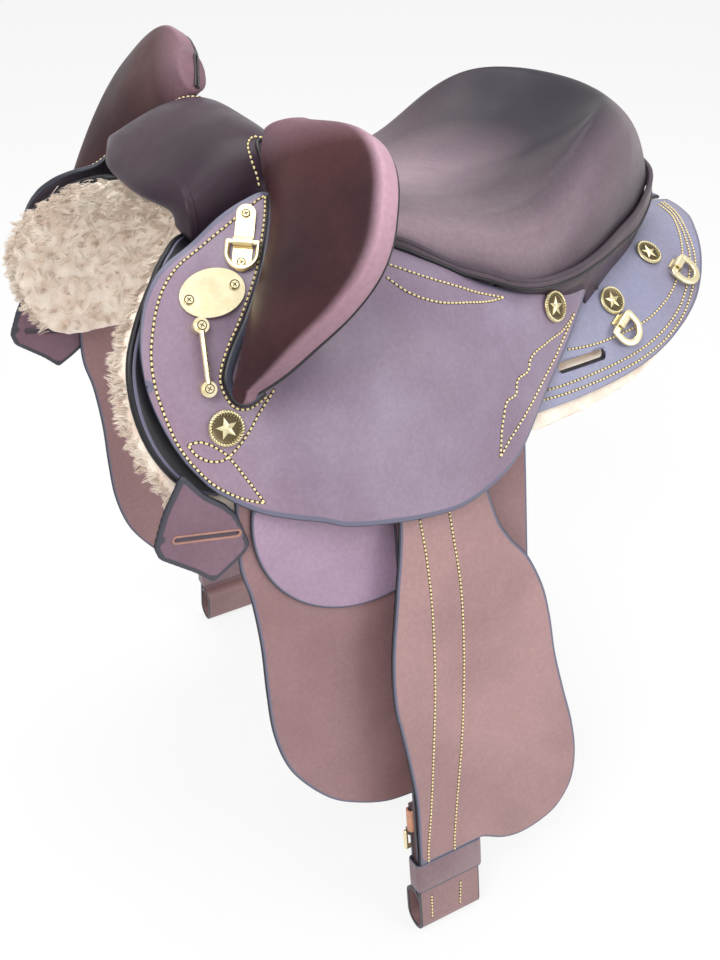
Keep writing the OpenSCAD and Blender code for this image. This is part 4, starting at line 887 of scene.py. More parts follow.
# Leather of the fork carried forward past the tree and turned in to the lining
def lip_shape(turns=140):
    profile = curve(LIP, 4)
    t = np.linspace(0.004, math.pi - 0.004, turns)
    rows = []
    for ahead_by, deep in profile:
        row = arch(t, np.full(turns, max(0, -ahead_by) / (FORK_FRONT - FORK_REAR)), deep)
        row[:, 1] -= max(0, ahead_by) * (LIP_FEET + (1 - LIP_FEET) * np.sin(t) ** 4)
        rows.append(row)
    return np.concatenate(rows), capped(grid(len(rows), turns).T), {}


one("fork_lip_leather", lip_shape(), FORK_MAT, "seat_leather")


# Rings of points with their short waves taken out
def evened(rings, width):
    wave = np.fft.rfft(rings, axis=1)
    wave *= np.exp(-0.5 * (width * np.arange(wave.shape[1])) ** 2)[:, None]
    return np.fft.irfft(wave, rings.shape[1], axis=1)


# Shares round the seat, from its rear along the near side to the front and back along the off side
def seat_turns(n):
    return 1 - 2 * np.arange(n) / n


# Seat: a padded dish with a rolled cantle, its colour going from painted highlight in the dish's middle to
# the dark leather of the crest, with painted highlight on the outer roll and painted shade at its edge
CREST_PASSES, CREST_WIDTH, CREST_WAVE, CREST_AT, CREST_REACH = 6, 0.16, 0.12, 0.9, 0.35
DISH_WAVE, DISH_FADE, DISH_POWER, DISH_LIFT = 0.42, 0.55, 0.8, 2.0
SEAT_PAINTED_LIGHT = ((0, 0.2, 0.65, 1.0, 1.3, 1.6, 2.0), (0, 0.1, 0.95, 1, 0.5, 0.45, 1))


def seat_shape(dish=40, rim=30, around=220):
    r = np.concatenate((np.linspace(0.02, 1, dish), np.linspace(1, 2, rim + 1)[1:]))
    rr, kk = np.meshgrid(r, seat_turns(around), indexing="ij")
    top, low = seat_face(rr, kk), seat_under(rr, kk)
    # The crest is rolled over smoothly
    w = np.exp(-((r[1:-1] - 1) / CREST_WIDTH) ** 2)[:, None, None]
    for _ in range(CREST_PASSES):
        soft = (top[:-2] + 2 * top[1:-1] + top[2:]) / 4
        top[1:-1] = top[1:-1] * (1 - w) + soft * w
    # The crest's corners are rounded along its rings
    top = mix(top, evened(top, CREST_WAVE), np.exp(-((rr - CREST_AT) / CREST_REACH) ** 2)[..., None])
    # The dish is evened round its rings, as foam is, and lifted a little
    even = evened(top[..., 2:], DISH_WAVE)[..., 0] + DISH_LIFT
    top[..., 2] = mix(top[..., 2], even, np.clip((1 - rr) / DISH_FADE, 0, 1) ** DISH_POWER)
    n, idx = rr.size, grid(*rr.shape)
    co = np.concatenate((top.reshape(-1, 3), low.reshape(-1, 3)))
    faces = quads(idx, True) + [f[::-1] for f in quads(idx + n, True)]
    faces += [idx[0].tolist(), (idx[0] + n)[::-1].tolist()]
    faces += quads(np.stack((idx[-1], idx[-1] + n)), True)
    # Painted light: the seat is paler towards its front as painted highlight, and darker along its lower
    # edge as painted shade
    back = np.clip(0.45 + 1.3 * (np.abs(kk) - 0.4), 0.4, 1)
    dark = np.interp(rr, *SEAT_PAINTED_LIGHT) * back
    dark = np.maximum(dark, np.interp(rr, (1.6, 2.0), (0, 0.75)))
    return co, faces, {"tint": np.concatenate((dark.ravel(), dark.ravel()))}


one("seat_cushion", seat_shape(), SEAT_MAT, "seat_leather", ["seat_pad"])
# Darkness of the seat's black piping, and the flank's painted shade below the seat's edge
BEAD_DARKNESS, FLANK_PAINTED_SHADE = 0.8, 0.7
edge = seat_face(2.0, seat_turns(260))
lift = unit(stack(edge[:, 0], edge[:, 1] - SEAT_MID_Y, 0.0))
bead = edge + lift * (PIPING_R + GAP) * 1.3 + (0, 0, PIPING_R)
co, faces, _ = tube(bead, PIPING_R, 12, True)
piping = co, faces, {"tint": np.full(len(co), BEAD_DARKNESS)}
one("seat_bead", piping, SEAT_MAT, "edge_leather", ["seat_piping"])


# Height of the leather below a place: the jockey where there is one, or else the skirt
def under_z(x, y):
    x = abs(x)
    s = np.linspace(0, 1, 60)
    z = skin(np.float64(x), np.float64(y), 0.0)[2]
    if JOCKEY[0][0] < y / HALF_LEN < JOCKEY[-1][0]:
        row = jockey(s, np.full_like(s, y), 0 * s)
        if row[0, 0] <= x <= row[-1, 0]:
            z = max(z, np.interp(x, row[:, 0], row[:, 2]))
    return z


# Leather of the seat's flank below its edge, darkened as painted shade, the line of its foot, and a dark
# sheet set back under it, painted shade that fills the gap below the seat
FLANK_DROP, FOOT_R = (7, 19), 1.5


def flank_shape(thick=3.0, flare=0.8, inset=7.0, under_shade_t=2):
    rows, foot, under_shade = [], [], []
    rear = bead[:, 1].max()
    for p, o in zip(bead, lift):
        a = p + o * (PIPING_R - 0.6)
        b = a + o * flare
        drop = np.interp(p[1], (0.5 * rear, 0.8 * rear), FLANK_DROP)
        b[2] = max(a[2] - drop, min(a[2] - 2, under_z(b[0], b[1]) + 1.0))
        q = np.linspace(0, 1, 7)[:, None]
        outer = mix(a, b, q) + o * 0.8 * np.sin(np.pi * q)
        rows.append(np.concatenate((outer, outer[::-1] - o * thick)))
        foot.append(b + o * 0.2 + (0, 0, 0.8))
        c = b - o * inset
        low = min(c[2] - 1, under_z(c[0], c[1]) + 0.6)
        back = c - o * under_shade_t
        under_shade.append([c, back, (*back[:2], low), (*c[:2], low)])
    rows, under_shade = np.array(rows), np.array(under_shade)
    dark = np.full(rows[..., 0].size, FLANK_PAINTED_SHADE)
    flank = rows.reshape(-1, 3), looped(grid(*rows.shape[:2])), {"tint": dark}
    return flank, (under_shade.reshape(-1, 3), looped(grid(*under_shade.shape[:2])), {}), tube(foot, FOOT_R, 10, True)


flank, seat_gap_shade, foot = flank_shape()
one("seat_flank", flank, SEAT_MAT, "seat_leather")
# Dark sheet in the gap under the seat's edge, as painted shade
one("seat_gap_shade", seat_gap_shade, BACK_MAT, "edge_leather")
one("seat_foot_bead", foot, PIPING_MAT, "edge_leather")


# Knee pads: a domed face, a gusset between two beads and rounded ends of two lengths
PAD_CAPS, PAD_CAP_HIGHLIGHT, PAD_BEAD_R = (4.0, 8.0), 0.32, 1.1
# Angles between which the gusset is paler with painted highlight, and each bead's angle and place across the
# pad's end
GUSSET_TOP, GUSSET_LOW, PAD_BEADS = 46, -62, ((-30, -0.12), (-42, -0.42))


def pad_shape(rings=80, around=96, cap=4, fade_over=14):
    turn = np.arange(1, cap + 1) / cap * math.pi / 2
    ks = np.concatenate((np.full(cap, PAD[0][0]), np.linspace(PAD[0][0], 1, rings), np.ones(cap)))
    shrink = np.concatenate((np.cos(turn[::-1]), np.ones(rings), np.cos(turn)))
    push = np.concatenate((-PAD_CAPS[0] * np.sin(turn[::-1]), np.zeros(rings), PAD_CAPS[1] * np.sin(turn)))
    kk, aa = np.meshgrid(ks, turns_of(around), indexing="ij")
    co = pad_pt(kk, aa)
    mid = co.mean(1, keepdims=True)
    along = unit(PAD_BASE)
    co = mid + (co - mid) * shrink[:, None, None] + along * push[:, None, None]
    deg = np.degrees((aa + math.pi) % (2 * math.pi) - math.pi)
    # The gusset's pink is painted highlight, fading along the pad and weaker on its end cap
    gusset_highlight = np.clip((GUSSET_TOP - deg) / 30, 0, 1) * np.clip((deg - GUSSET_LOW) / 6, 0, 1)
    gusset_highlight *= np.clip(1.35 - 0.95 * np.clip(kk, 0, 1), 0, 1)
    faded = slice(cap, cap + fade_over)
    gusset_highlight[faded] = mix(PAD_CAP_HIGHLIGHT, gusset_highlight[faded], np.linspace(0, 1, fade_over)[:, None])
    gusset_highlight[:cap] = PAD_CAP_HIGHLIGHT
    return co.reshape(-1, 3), capped(grid(*kk.shape)), {"tint": gusset_highlight.ravel()}


for pad in pair("knee_pad_cushion", pad_shape(), PAD_MAT, "pad_leather", ["knee_pad_SIDE"]):
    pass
beads = []
for turn, across in PAD_BEADS:
    k = np.linspace(0.995, 0.0, 100)
    line = pad_pt(k, np.full_like(k, math.radians(turn)), 0.2)
    rise = mix(PAD[0][1], PAD[0][2], np.linspace(0.86, 0.05, 14)[:, None])
    end = (PAD_AT + PAD_BASE * PAD[0][0] - unit(PAD_BASE) * 4.3 + PAD_RISE * PAD_H * rise
        - PAD_FACE * PAD_T / 2 * (across * 0.8 - 1))
    beads.append(tube(resample(np.concatenate((line, end)), 2.0), PAD_BEAD_R, 8, up=PAD_FACE))
pair("knee_pad_bead", join(beads), PIPING_MAT, "edge_leather")

# Stitch rows of the jockey in shares along and across it, the last one beside the pad's welt
JOCKEY_ROWS = [
    [(-0.501, 0.03), (-0.564, 0.052), (-0.633, 0.066), (-0.705, 0.066), (-0.78, 0.07), (-0.838, 0.102),
        (-0.884, 0.152), (-0.912, 0.222), (-0.934, 0.322), (-0.943, 0.534), (-0.94, 0.746),
        (-0.926, 0.91), (-0.9, 0.958), (-0.855, 0.974), (-0.798, 0.976), (-0.72, 0.968)],
    [(-0.72, 0.968), (-0.741, 0.938), (-0.766, 0.9), (-0.789, 0.866), (-0.807, 0.844), (-0.846, 0.826),
        (-0.87, 0.836), (-0.895, 0.876)],
    [(-0.895, 0.876), (-0.882, 0.898), (-0.861, 0.896), (-0.831, 0.884), (-0.808, 0.868), (-0.777, 0.834),
        (-0.748, 0.8), (-0.721, 0.768), (-0.687, 0.726), (-0.656, 0.694), (-0.63, 0.664)],
    [(0.482, 0.784), (0.426, 0.806), (0.36, 0.832), (0.298, 0.836), (0.234, 0.842), (0.158, 0.852),
        (0.091, 0.882), (0.042, 0.922)],
    [(0.482, 0.784), (0.413, 0.72), (0.341, 0.608), (0.271, 0.57), (0.224, 0.588), (0.207, 0.646),
        (0.161, 0.644), (0.142, 0.67), (0.137, 0.712), (0.089, 0.726), (0.07, 0.778), (0.054, 0.832),
        (0.042, 0.922)],
    [(-0.181, 0.21), (-0.109, 0.214), (-0.031, 0.206), (0.064, 0.178), (0.141, 0.128), (0.199, 0.112)],
    [(-0.214, 0.286), (-0.173, 0.326), (-0.118, 0.34), (-0.043, 0.326), (0.058, 0.264), (0.149, 0.168),
        (0.199, 0.112)],
    [(-0.501, 0.03), (-0.53, 0.116), (-0.565, 0.204), (-0.594, 0.276), (-0.632, 0.35), (-0.679, 0.43),
        (-0.725, 0.494), (-0.758, 0.556), (-0.773, 0.606), (-0.768, 0.662), (-0.749, 0.7), (-0.716, 0.708),
        (-0.685, 0.698), (-0.653, 0.68)]]
WELT_MID, WELT_HALF, WELT_FOOT = 5.6, 4.2, 0.3


# Domed welt between the last stitch row and the knee pad, round the pad's lower end
def welt_shape():
    p, up = even_row(*jockey_row(JOCKEY_ROWS[-1]), 3)
    side = np.cross(unit(np.gradient(p, axis=0)), up)
    middle = len(p) // 2
    side *= -np.sign(np.dot(side[middle], PAD_AT + PAD_BASE * 0.5 - p[middle]))
    rows, rim = [], []
    for w in np.linspace(-1, 1, 11):
        dome = WELT_FOOT + (WELT_T + 0.7) * math.sqrt(1 - w ** 4)
        rows.append(p + side * (WELT_MID + WELT_HALF * w) + up * dome)
        rim.append(np.full(len(p), WELT_HALF * (1 - abs(w))))
    for w in (1, -1):
        rows.append(p + side * (WELT_MID + WELT_HALF * w) - up * WELT_FOOT)
        rim.append(np.zeros(len(p)))
    return np.concatenate(rows), capped(grid(len(rows), len(p)).T), {"rim": np.concatenate(rim) * MM}


pair("pad_welt_leather", welt_shape(), WELT_MAT, "edge_leather", ["pad_welt_SIDE"])

# Flat leathers: fender, sweat flap, half moon and latigo keeper
KEEPER_TOP, KEEPER_H, KEEPER_T, BACK_IN = 511.8, 38, 2.6, -4.3
LACE_TOP, LACE_H = 447.1, 27
MOON_DROP, MOON_CHORD = 0.35, 0.14
LATIGO_SLOT_AT, LATIGO_SLOT_TURN, LINING_R = -0.38, math.radians(-12), 1.1
FENDER_IN = STRAP_FACE + GAP / 2


# One edge of a leather, from a column of shares across and the shares down
def hanging_edge(table, column, width, depth, n):
    return curve([[p[column] * width, -p[0] * depth] for p in table], n)


def on_fender(x, y, z):
    return hang_pt(x + FENDER_IN, y, z)


def on_flap(x, y, z):
    return flap_pt(x + FLAP_T + GAP, y, z)


tongue = [[-STRAP_W / 2, -KEEPER_TOP + 0.6], [STRAP_W / 2 + 3, -KEEPER_TOP + 0.6]]
fender_front = hanging_edge(FENDER_EDGE_F, 1, FENDER_FRONT, FENDER_LEN, 8)
fender_rear = hanging_edge(FENDER_EDGE_R, 1, FENDER_REAR, FENDER_LEN, 8)
fender_line = np.concatenate((fender_front, tongue, fender_rear))
pair("fender_leather", leaf([fender_line], FENDER_T, on_fender), FENDER_MAT, "flap_leather", ["fender_SIDE"],
    "fender_SIDE")
flap_depth = FLAP_BOTTOM + RIDGE[0] - FALL[0]
flap_front = hanging_edge(FLAP, 1, FLAP_FRONT, flap_depth, 6)
flap_rear = hanging_edge(FLAP, 2, FLAP_REAR, flap_depth, 6)
pair("sweat_flap_leather", leaf([np.concatenate((flap_front, flap_rear[::-1]))], FLAP_T, flap_pt), FLAP_MAT,
    "flap_leather", ["sweat_flap_SIDE"])
half = math.asin(MOON_DROP - MOON_CHORD)
moon = [(MOON_Y + MOON_R * math.cos(a), -MOON_DROP * MOON_R + MOON_R * math.sin(a))
    for a in np.linspace(half, -math.pi - half, 140)]
pair("half_moon_leather", leaf([moon], MOON_T, on_flap), MOON_MAT, "flap_leather", ["rigging_cover_SIDE"])


# Outline with its corners rounded
def rounded(points, share=0.18):
    out = []
    for i, p in enumerate(points):
        a, b = np.array(points[i - 1]), np.array(points[(i + 1) % len(points)])
        p = np.array(p)
        for q in np.linspace(0, 1, 6):
            s, e = mix(p, a, share), mix(p, b, share)
            out.append(mix(mix(s, p, q), mix(p, e, q), q))
    return out


latigo_line = rounded([(LATIGO_Y + p[0] * LATIGO_W, p[1] * LATIGO_LEN) for p in LATIGO])
turn_c, turn_s = math.cos(LATIGO_SLOT_TURN), math.sin(LATIGO_SLOT_TURN)
y, z = slot_line(LATIGO_SLOT, LATIGO_SLOT_H, 40)
hole = np.stack((LATIGO_Y + y * turn_c - z * turn_s,
    LATIGO_SLOT_AT * LATIGO_LEN + y * turn_s + z * turn_c), 1)
pair("latigo_keeper_leather", leaf([latigo_line, hole], LATIGO_T, on_flap, 6, 2), LATIGO_MAT,
    "saddle_leather", ["latigo_keeper_SIDE"])

lining = [on_flap(LATIGO_T * 0.85, y, z) for y, z in resample(hole, SLOT_STEP, True)]
pair("latigo_slot_lining", tube(lining, LINING_R, 8, True, up=(1, 0, 0)), SLOT_MAT, "tan_leather")


# Keepers: bands with rounded corners round the leather, of a squared section
SQUARED = 0.35


def keeper(x0, x1, w, t, h, top, corner=1.9, swell=0.9):
    path = []
    a0, a1, b = x0 - GAP - t / 2, x1 + GAP + t / 2, w / 2 + GAP + t / 2
    for cx, cy, start in ((a1, b, 0), (a0, b, 90), (a0, -b, 180), (a1, -b, 270)):
        mx, my = cx - math.copysign(corner, cx - (a0 + a1) / 2), cy - math.copysign(corner, cy)
        for a in np.radians(np.linspace(start, start + 90, 7)):
            path.append((mx + corner * math.cos(a), my + corner * math.sin(a)))
    p = resample(np.array(path), 2.0, True)
    tangent = loop_tangent(p)
    side = np.stack((tangent[:, 1], -tangent[:, 0]), 1)
    rows, rim = [], []
    for a in np.radians(np.arange(0, 360, 15)):
        c, s = math.cos(a), math.sin(a)
        e = power(s, SQUARED)
        full = swell * (1 - e * e) * (np.abs(p[:, 1]) / w * 2 < 0.98) * (c > 0)
        q = p + side * (t / 2 * power(c, SQUARED) + full)[:, None]
        rows.append(hang_pt(q[:, 0], q[:, 1], np.full(len(q), -top - h / 2 + h / 2 * e)))
        rim.append(np.full(len(q), h / 2 * (1 - abs(e))))
    return np.concatenate(rows), looped(grid(len(rows), len(p))), {"rim": np.concatenate(rim) * MM}


strap_keeper = keeper(BACK_IN, STRAP_FACE, STRAP_W, KEEPER_T, KEEPER_H, KEEPER_TOP)
lace_keeper = keeper(BACK_IN, BACK_IN + STRAP_T, STRAP_W, KEEPER_T, LACE_H, LACE_TOP, swell=0)
pair("strap_keeper_leather", strap_keeper, KEEPER_MAT, "flap_leather", ["strap_keeper_SIDE"],
    "strap_keeper_SIDE")
pair("lace_keeper_leather", lace_keeper, TAN_MAT, "tan_leather", ["lace_keeper_SIDE"], "fender_SIDE")

# Sewn rows: shares of the skirt, millimetres on the fender and strap, degrees and shares on the fork
SKIRT_ROWS = [
    [(1.305, 0.09), (1.29, 0.17), (1.265, 0.269), (1.2, 0.456), (1.155, 0.584), (1.1, 0.684),
        (1.016, 0.784), (0.94, 0.845), (0.85, 0.89), (0.744, 0.924), (0.623, 0.947), (0.498, 0.963),
        (0.389, 0.972), (0.301, 0.975)],
    [(1.29, 0.09), (1.275, 0.165), (1.25, 0.262), (1.185, 0.445), (1.138, 0.57), (1.083, 0.668),
        (1.0, 0.766), (0.926, 0.825), (0.838, 0.87), (0.734, 0.904), (0.616, 0.927), (0.494, 0.943),
        (0.389, 0.953), (0.301, 0.956)],
    [(1.258, 0.12), (1.246, 0.2), (1.224, 0.294), (1.153, 0.47), (1.074, 0.617), (0.965, 0.732),
        (0.87, 0.793), (0.786, 0.827), (0.68, 0.85), (0.592, 0.864), (0.514, 0.87), (0.445, 0.87)]]
FENDER_ROWS = [
    [(-16.5, -105), (-11, -147), (-7.3, -199), (-6.8, -252), (-8.6, -307), (-14, -378), (-20.2, -445),
        (-25.5, -490), (-26.5, -510)],
    [(13.7, -105), (19.3, -151), (24.1, -194), (25.5, -244), (24, -303), (18.8, -375), (10.6, -444),
        (5.6, -492), (4.8, -510)]]
LOOP_ROWS = [[(-22.7, -562), (-23.2, -580), (-23.6, -593)], [(13, -562), (12, -580), (11.3, -593)]]
FORK_ROWS = [[(19.5, 0.58), (26, 0.58), (39, 0.57), (54, 0.59), (62, 0.66), (61, 0.76), (58, 0.86)]]
FORK_BEAD = [(17, 0.66), (26, 0.655), (39, 0.65), (52, 0.66), (58, 0.7), (57, 0.78), (54, 0.87)]
FORK_BEAD_R, FORK_BEAD_LIFT = 1.7, 0.6


def sew(name, rows, body="saddle", slot="saddle_leather"):
    pair(name + "_stitches", join([sewn(p, up) for p, up in rows]), THREAD_MAT, slot, body=body)
    pair(name + "_groove", join([groove_shade(p, up) for p, up in rows]), GROOVE_SHADE_MAT, slot, body=body)


sew("jockey", [jockey_row(r) for r in JOCKEY_ROWS])
sew("skirt", [skirt_row(r) for r in SKIRT_ROWS])
sew("fork", [fork_row(r) for r in FORK_ROWS])
seam, seam_up = fork_row(FORK_BEAD)
fork_bead = tube(seam + seam_up * FORK_BEAD_LIFT, FORK_BEAD_R, 8, up=(0, 1, 0.2))
pair("fork_bead", fork_bead, PIPING_MAT, "edge_leather")
sew("fender", [flat_row(on_fender, FENDER_T, r) for r in FENDER_ROWS], "fender_SIDE", "flap_leather")
sew("loop", [flat_row(hang_pt, STRAP_FACE, r) for r in LOOP_ROWS], "fender_SIDE", "flap_leather")

# Conchos: a dished disc, a roped rim, a row of beads and a ridged star, in shares of the radius and height
DISC = ((0.9, 0.0), (0.97, 0.12), (1.0, 0.35), (0.98, 0.62), (0.86, 0.66), (0.8, 0.5), (0.7, 0.42),
    (0.4, 0.44), (0.02, 0.46))
DISC_DARK = (0.3, 0.1, 0, 0.1, 0.7, 1, 1, 1, 1)
ROPE_TURNS, ROPE_AT, ROPE_HALF, ROPE_R = 34, 0.9, 0.075, 0.052
BEADS, BEAD_AT, BEAD_R, BEAD_TALL, BEAD_DARK = 26, 0.745, 0.035, 0.045, 0.35
STAR_OUT, STAR_IN, STAR_CORNERS = 0.66, 0.27, 10


# A surface turned about the middle of a concho or bead, from its section
def turned(section, sides, x=0.0, y=0.0):
    a = turns_of(sides)
    co = np.concatenate([stack(x + q * np.cos(a), y + q * np.sin(a), h) for q, h in section])
    return co, capped(grid(len(section), sides))


def concho_shape(r, sides=72, bead_sides=14):
    co, faces = turned([(r * q, h * CONCHO_H) for q, h in DISC], sides)
    shapes = [(co, faces, {"tint": np.repeat(DISC_DARK, sides)})]
    w = np.linspace(-1, 1, 6)
    for i in range(ROPE_TURNS):
        t0, t1 = (2 * math.pi * (i + e) / ROPE_TURNS for e in (-0.25, 0.85))
        t = np.linspace(t0, t1, len(w))
        away = (ROPE_AT + ROPE_HALF * w) * r
        path = np.stack((away * np.cos(t), away * np.sin(t), CONCHO_H * (0.8 - 0.16 * w * w)), 1)
        co, faces, _ = tube(path, r * ROPE_R * (1 - 0.5 * w ** 4), 6)
        shapes.append((co, faces, {"tint": np.zeros(len(co))}))
    dome = ((1, 0), (0.72, 0.7), (0.05, 1))
    section = [(r * BEAD_R * c, CONCHO_H * DISC[-1][1] + r * BEAD_TALL * s) for c, s in dome]
    for t in turns_of(BEADS):
        co, faces = turned(section, bead_sides, r * BEAD_AT * math.cos(t), r * BEAD_AT * math.sin(t))
        shapes.append((co, faces, {"tint": np.full(len(co), BEAD_DARK)}))
    n = STAR_CORNERS
    away = np.where(np.arange(n) % 2 == 0, STAR_OUT, STAR_IN) * r
    t = turns_of(n) + math.pi / 2
    x, y = away * np.cos(t), away * np.sin(t)
    co = np.concatenate((stack(x, y, CONCHO_H * 0.4), stack(x * 0.96, y * 0.96, CONCHO_H * 0.68),
        [(0, 0, CONCHO_H * 1.02)]))
    faces = [[i, (i + 1) % n, n + (i + 1) % n, n + i] for i in range(n)]
    faces += [[n + i, n + (i + 1) % n, 2 * n] for i in range(n)] + [list(range(n))[::-1]]
    # Each facet of the star has points of its own, so that its edges stay sharp
    facets = [(co[f], [list(range(len(f)))], {"tint": np.zeros(len(f))}) for f in faces]
    return join(shapes + facets)


# Place of hardware on a face, with its outward direction
def jockey_spot(k, s, d=GAP):
    p, up = jockey_row([(k, s), (k + 1e-4, s)], 1)
    return p[0] + up[0] * d, up[0]


def skirt_spot(length, k, x, d=GAP):
    p, up = skirt_row([(k, x), (k + 1e-4, x)], 1, length)
    return p[0] + up[0] * d, up[0]


FRONT_CONCHO, MIDDLE_CONCHO, REAR_CONCHOS = (-0.787, 0.762), (0.378, 0.322), ((0.8575, 0.555), (0.62, 0.745))
for name, r, spots in (("front_concho", CONCHO_R, [jockey_spot(*FRONT_CONCHO)]),
        ("middle_concho", CONCHO_R, [jockey_spot(*MIDDLE_CONCHO)]),
        ("rear_concho", CONCHO_SMALL_R, [skirt_spot(SEAT_REAR, *at) for at in REAR_CONCHOS])):
    shape = join([moved(concho_shape(r), stand(*spot, math.pi / 2)) for spot in spots])
    pair(name, shape, ANTIQUE_MAT, "antique_brass", [name + "s"])


# Rear dees: flat cast rings, half their section's width and height, and their turn and places on the skirt
DEE_FLAT, DEE_HIGH, DEE_TURN = 3.3, 2.0, math.radians(126)
REAR_DEES = (("upper", 0.756, 0.635), ("lower", 0.5, 0.82))


def dee_shape(sides=12):
    leg, out = DEE_W * 0.5, DEE_W / 2 + DEE_WIRE + 1.6
    path = [(x, 0, 0) for x in np.linspace(-out, out, 12)]
    path += [(out, -leg * q, 0) for q in np.linspace(0.15, 1, 5)]
    path += [(out * math.cos(t), -leg - out * math.sin(t), 0) for t in np.linspace(0, math.pi, 28)[1:-1]]
    path += [(-out, -leg * q, 0) for q in np.linspace(1, 0.15, 5)]
    p = resample(np.array(path), 1.6, True)
    side = np.cross(loop_tangent(p), (0, 0, 1.0))
    a = turns_of(sides)
    w, h = DEE_FLAT * power(np.cos(a), 0.5), DEE_HIGH * power(np.sin(a), 0.5)
    co = p[:, None] + side[:, None] * w[:, None] + np.array((0, 0, 1.0)) * h[:, None]
    return co.reshape(-1, 3), looped(grid(len(p), sides)), {}


lifted = Matrix.Translation((0, 0, DEE_WIRE + GAP / 2 + CLIP_T))
for level, k, x in REAR_DEES:
    dee = "rear_dee_" + level
    shape = moved(dee_shape(), stand(*skirt_spot(REAR_LEN, k, x), DEE_TURN) @ lifted)
    pair(dee + "_ring", shape, BRASS_MAT, "brass", [dee + "_SIDE"], dee + "_SIDE")

# Screw marks on the brass: painted shade in the gap round each head and in its crossed slot
MARK_R, CROSS_R, CROSS_HALF, CROSS_TURN = 0.42, 0.38, 0.62, 0.5
CLIP, CLIP_TURN, CLIP_UP, CLIP_LOW, CLIP_SCREW_R = (-0.608, 0.174), math.radians(56), 24, 15.2, 3
STAPLE, STAPLE_LEN, STAPLE_H, STAPLE_TURN = (-0.8025, 0.505), 46, 11, math.radians(8)
STAPLE_SCREW_R, STAPLE_MARK_TURN = 3.4, 0.3
PLATE, PLATE_LIFT, PLATE_T, PLATE_SCREW, PLATE_SCREW_R = (-0.73, 0.287), 2.9, 1.6, 18.7, 3.4


def screw_shade_mark(r):
    a = turns_of(28)
    shapes = [tube(np.stack((r * np.cos(a), r * np.sin(a), 0 * a), 1), MARK_R, 6, True)]
    q = np.linspace(-CROSS_HALF, CROSS_HALF, 4)[:, None] * r
    for turn in (CROSS_TURN, CROSS_TURN + math.pi / 2):
        shapes.append(tube(q * np.array((math.cos(turn), math.sin(turn), 0)), CROSS_R, 6))
    return join(shapes)


clip_at = stand(*jockey_spot(*CLIP), CLIP_TURN)
marks = [moved(screw_shade_mark(CLIP_SCREW_R), clip_at @ Matrix.Translation((0, y, CLIP_T * 1.5)))
    for y in (-CLIP_LOW, CLIP_UP)]
# Length of the jockey's face across one whole share, at the staple
beside, share = jockey_spot(*STAPLE)[0], 0.05
step = np.linalg.norm(jockey_spot(STAPLE[0], STAPLE[1] + share)[0] - beside) / share
for k in (-1, 1):
    spot = jockey_spot(STAPLE[0] - k * STAPLE_LEN * math.sin(STAPLE_TURN) / 2 / HALF_LEN,
        STAPLE[1] + k * STAPLE_LEN / 2 / step, STAPLE_H + GAP)
    marks.append(moved(screw_shade_mark(STAPLE_SCREW_R), stand(*spot, STAPLE_MARK_TURN)))
pair("brass_screw_shade", join(marks), SCREW_SHADE_MAT, "brass")
plate_at = stand(*jockey_spot(*PLATE, PLATE_LIFT + PLATE_T + GAP / 2 + CLIP_T), 0)
heads = join([moved(screw_shade_mark(PLATE_SCREW_R), plate_at @ Matrix.Translation((0, y, 0)))
    for y in (-PLATE_SCREW, PLATE_SCREW)])
one("plate_screw_shade", heads, SCREW_SHADE_MAT, "brass")

# Materials of the CAD nodes that stay, with their edges eased
SHOWN = {"tree_bar": TREE_SHADE_MAT, "tree_fork": TREE_SHADE_MAT, "cantle_board": TREE_SHADE_MAT, "ground_seat": WOOD_MAT,
    "stirrup_bar": STEEL_MAT, "gullet_lining": BLACK_MAT, "gullet_screws": STEEL_MAT,
    "cantle_back": BACK_MAT, "oval_plate": BRASS_MAT, "plate_screws": BRASS_MAT, "staple": BRASS_MAT,
    "front_dee": BRASS_MAT, "front_dee_clip": CLIP_MAT, "rear_dee_clips": BRASS_MAT,
    "stirrup_leather": STRAP_MAT, "buckle": BRASS_MAT}
EASE = {"oval_plate": 0.5, "plate_screws": 0.3, "staple": 0.8, "front_dee_clip": 0.4, "rear_dee_clips": 0.4,
    "stirrup_leather": 0.9, "cantle_back": 0.8, "buckle_tongue": 0.3}
for name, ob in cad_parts.items():
    for key, material in SHOWN.items():
        if name.startswith(key):
            ob.data.materials.clear()
            ob.data.materials.append(material)
    for key, width in EASE.items():
        if name.startswith(key):
            m = ob.modifiers.new("eased_edges", "BEVEL")
            m.width, m.segments, m.limit_method, m.angle_limit = width * MM, 3, "ANGLE", math.radians(40)
            m.harden_normals = True

# Floor and surroundings: pale, and bright where a camera or a reflection sees them
FLOOR_REACH, FLOOR_GREY, FLOOR_GLOW = 9.0, 0.9, 0.8
LIGHT_LEVEL, SEEN_LEVEL = 0.55, 0.85


# Share that is 1 where a camera ray or a reflection sees the background, and 0 where it only gives light
def seen_share(tree):
    rays = tree.nodes.new("ShaderNodeLightPath")
    seen = tree.nodes.new("ShaderNodeMath")
    seen.operation = "MAXIMUM"
    tree.links.new(rays.outputs["Is Camera Ray"], seen.inputs[0])
    tree.links.new(rays.outputs["Is Glossy Ray"], seen.inputs[1])
    return seen.outputs[0]


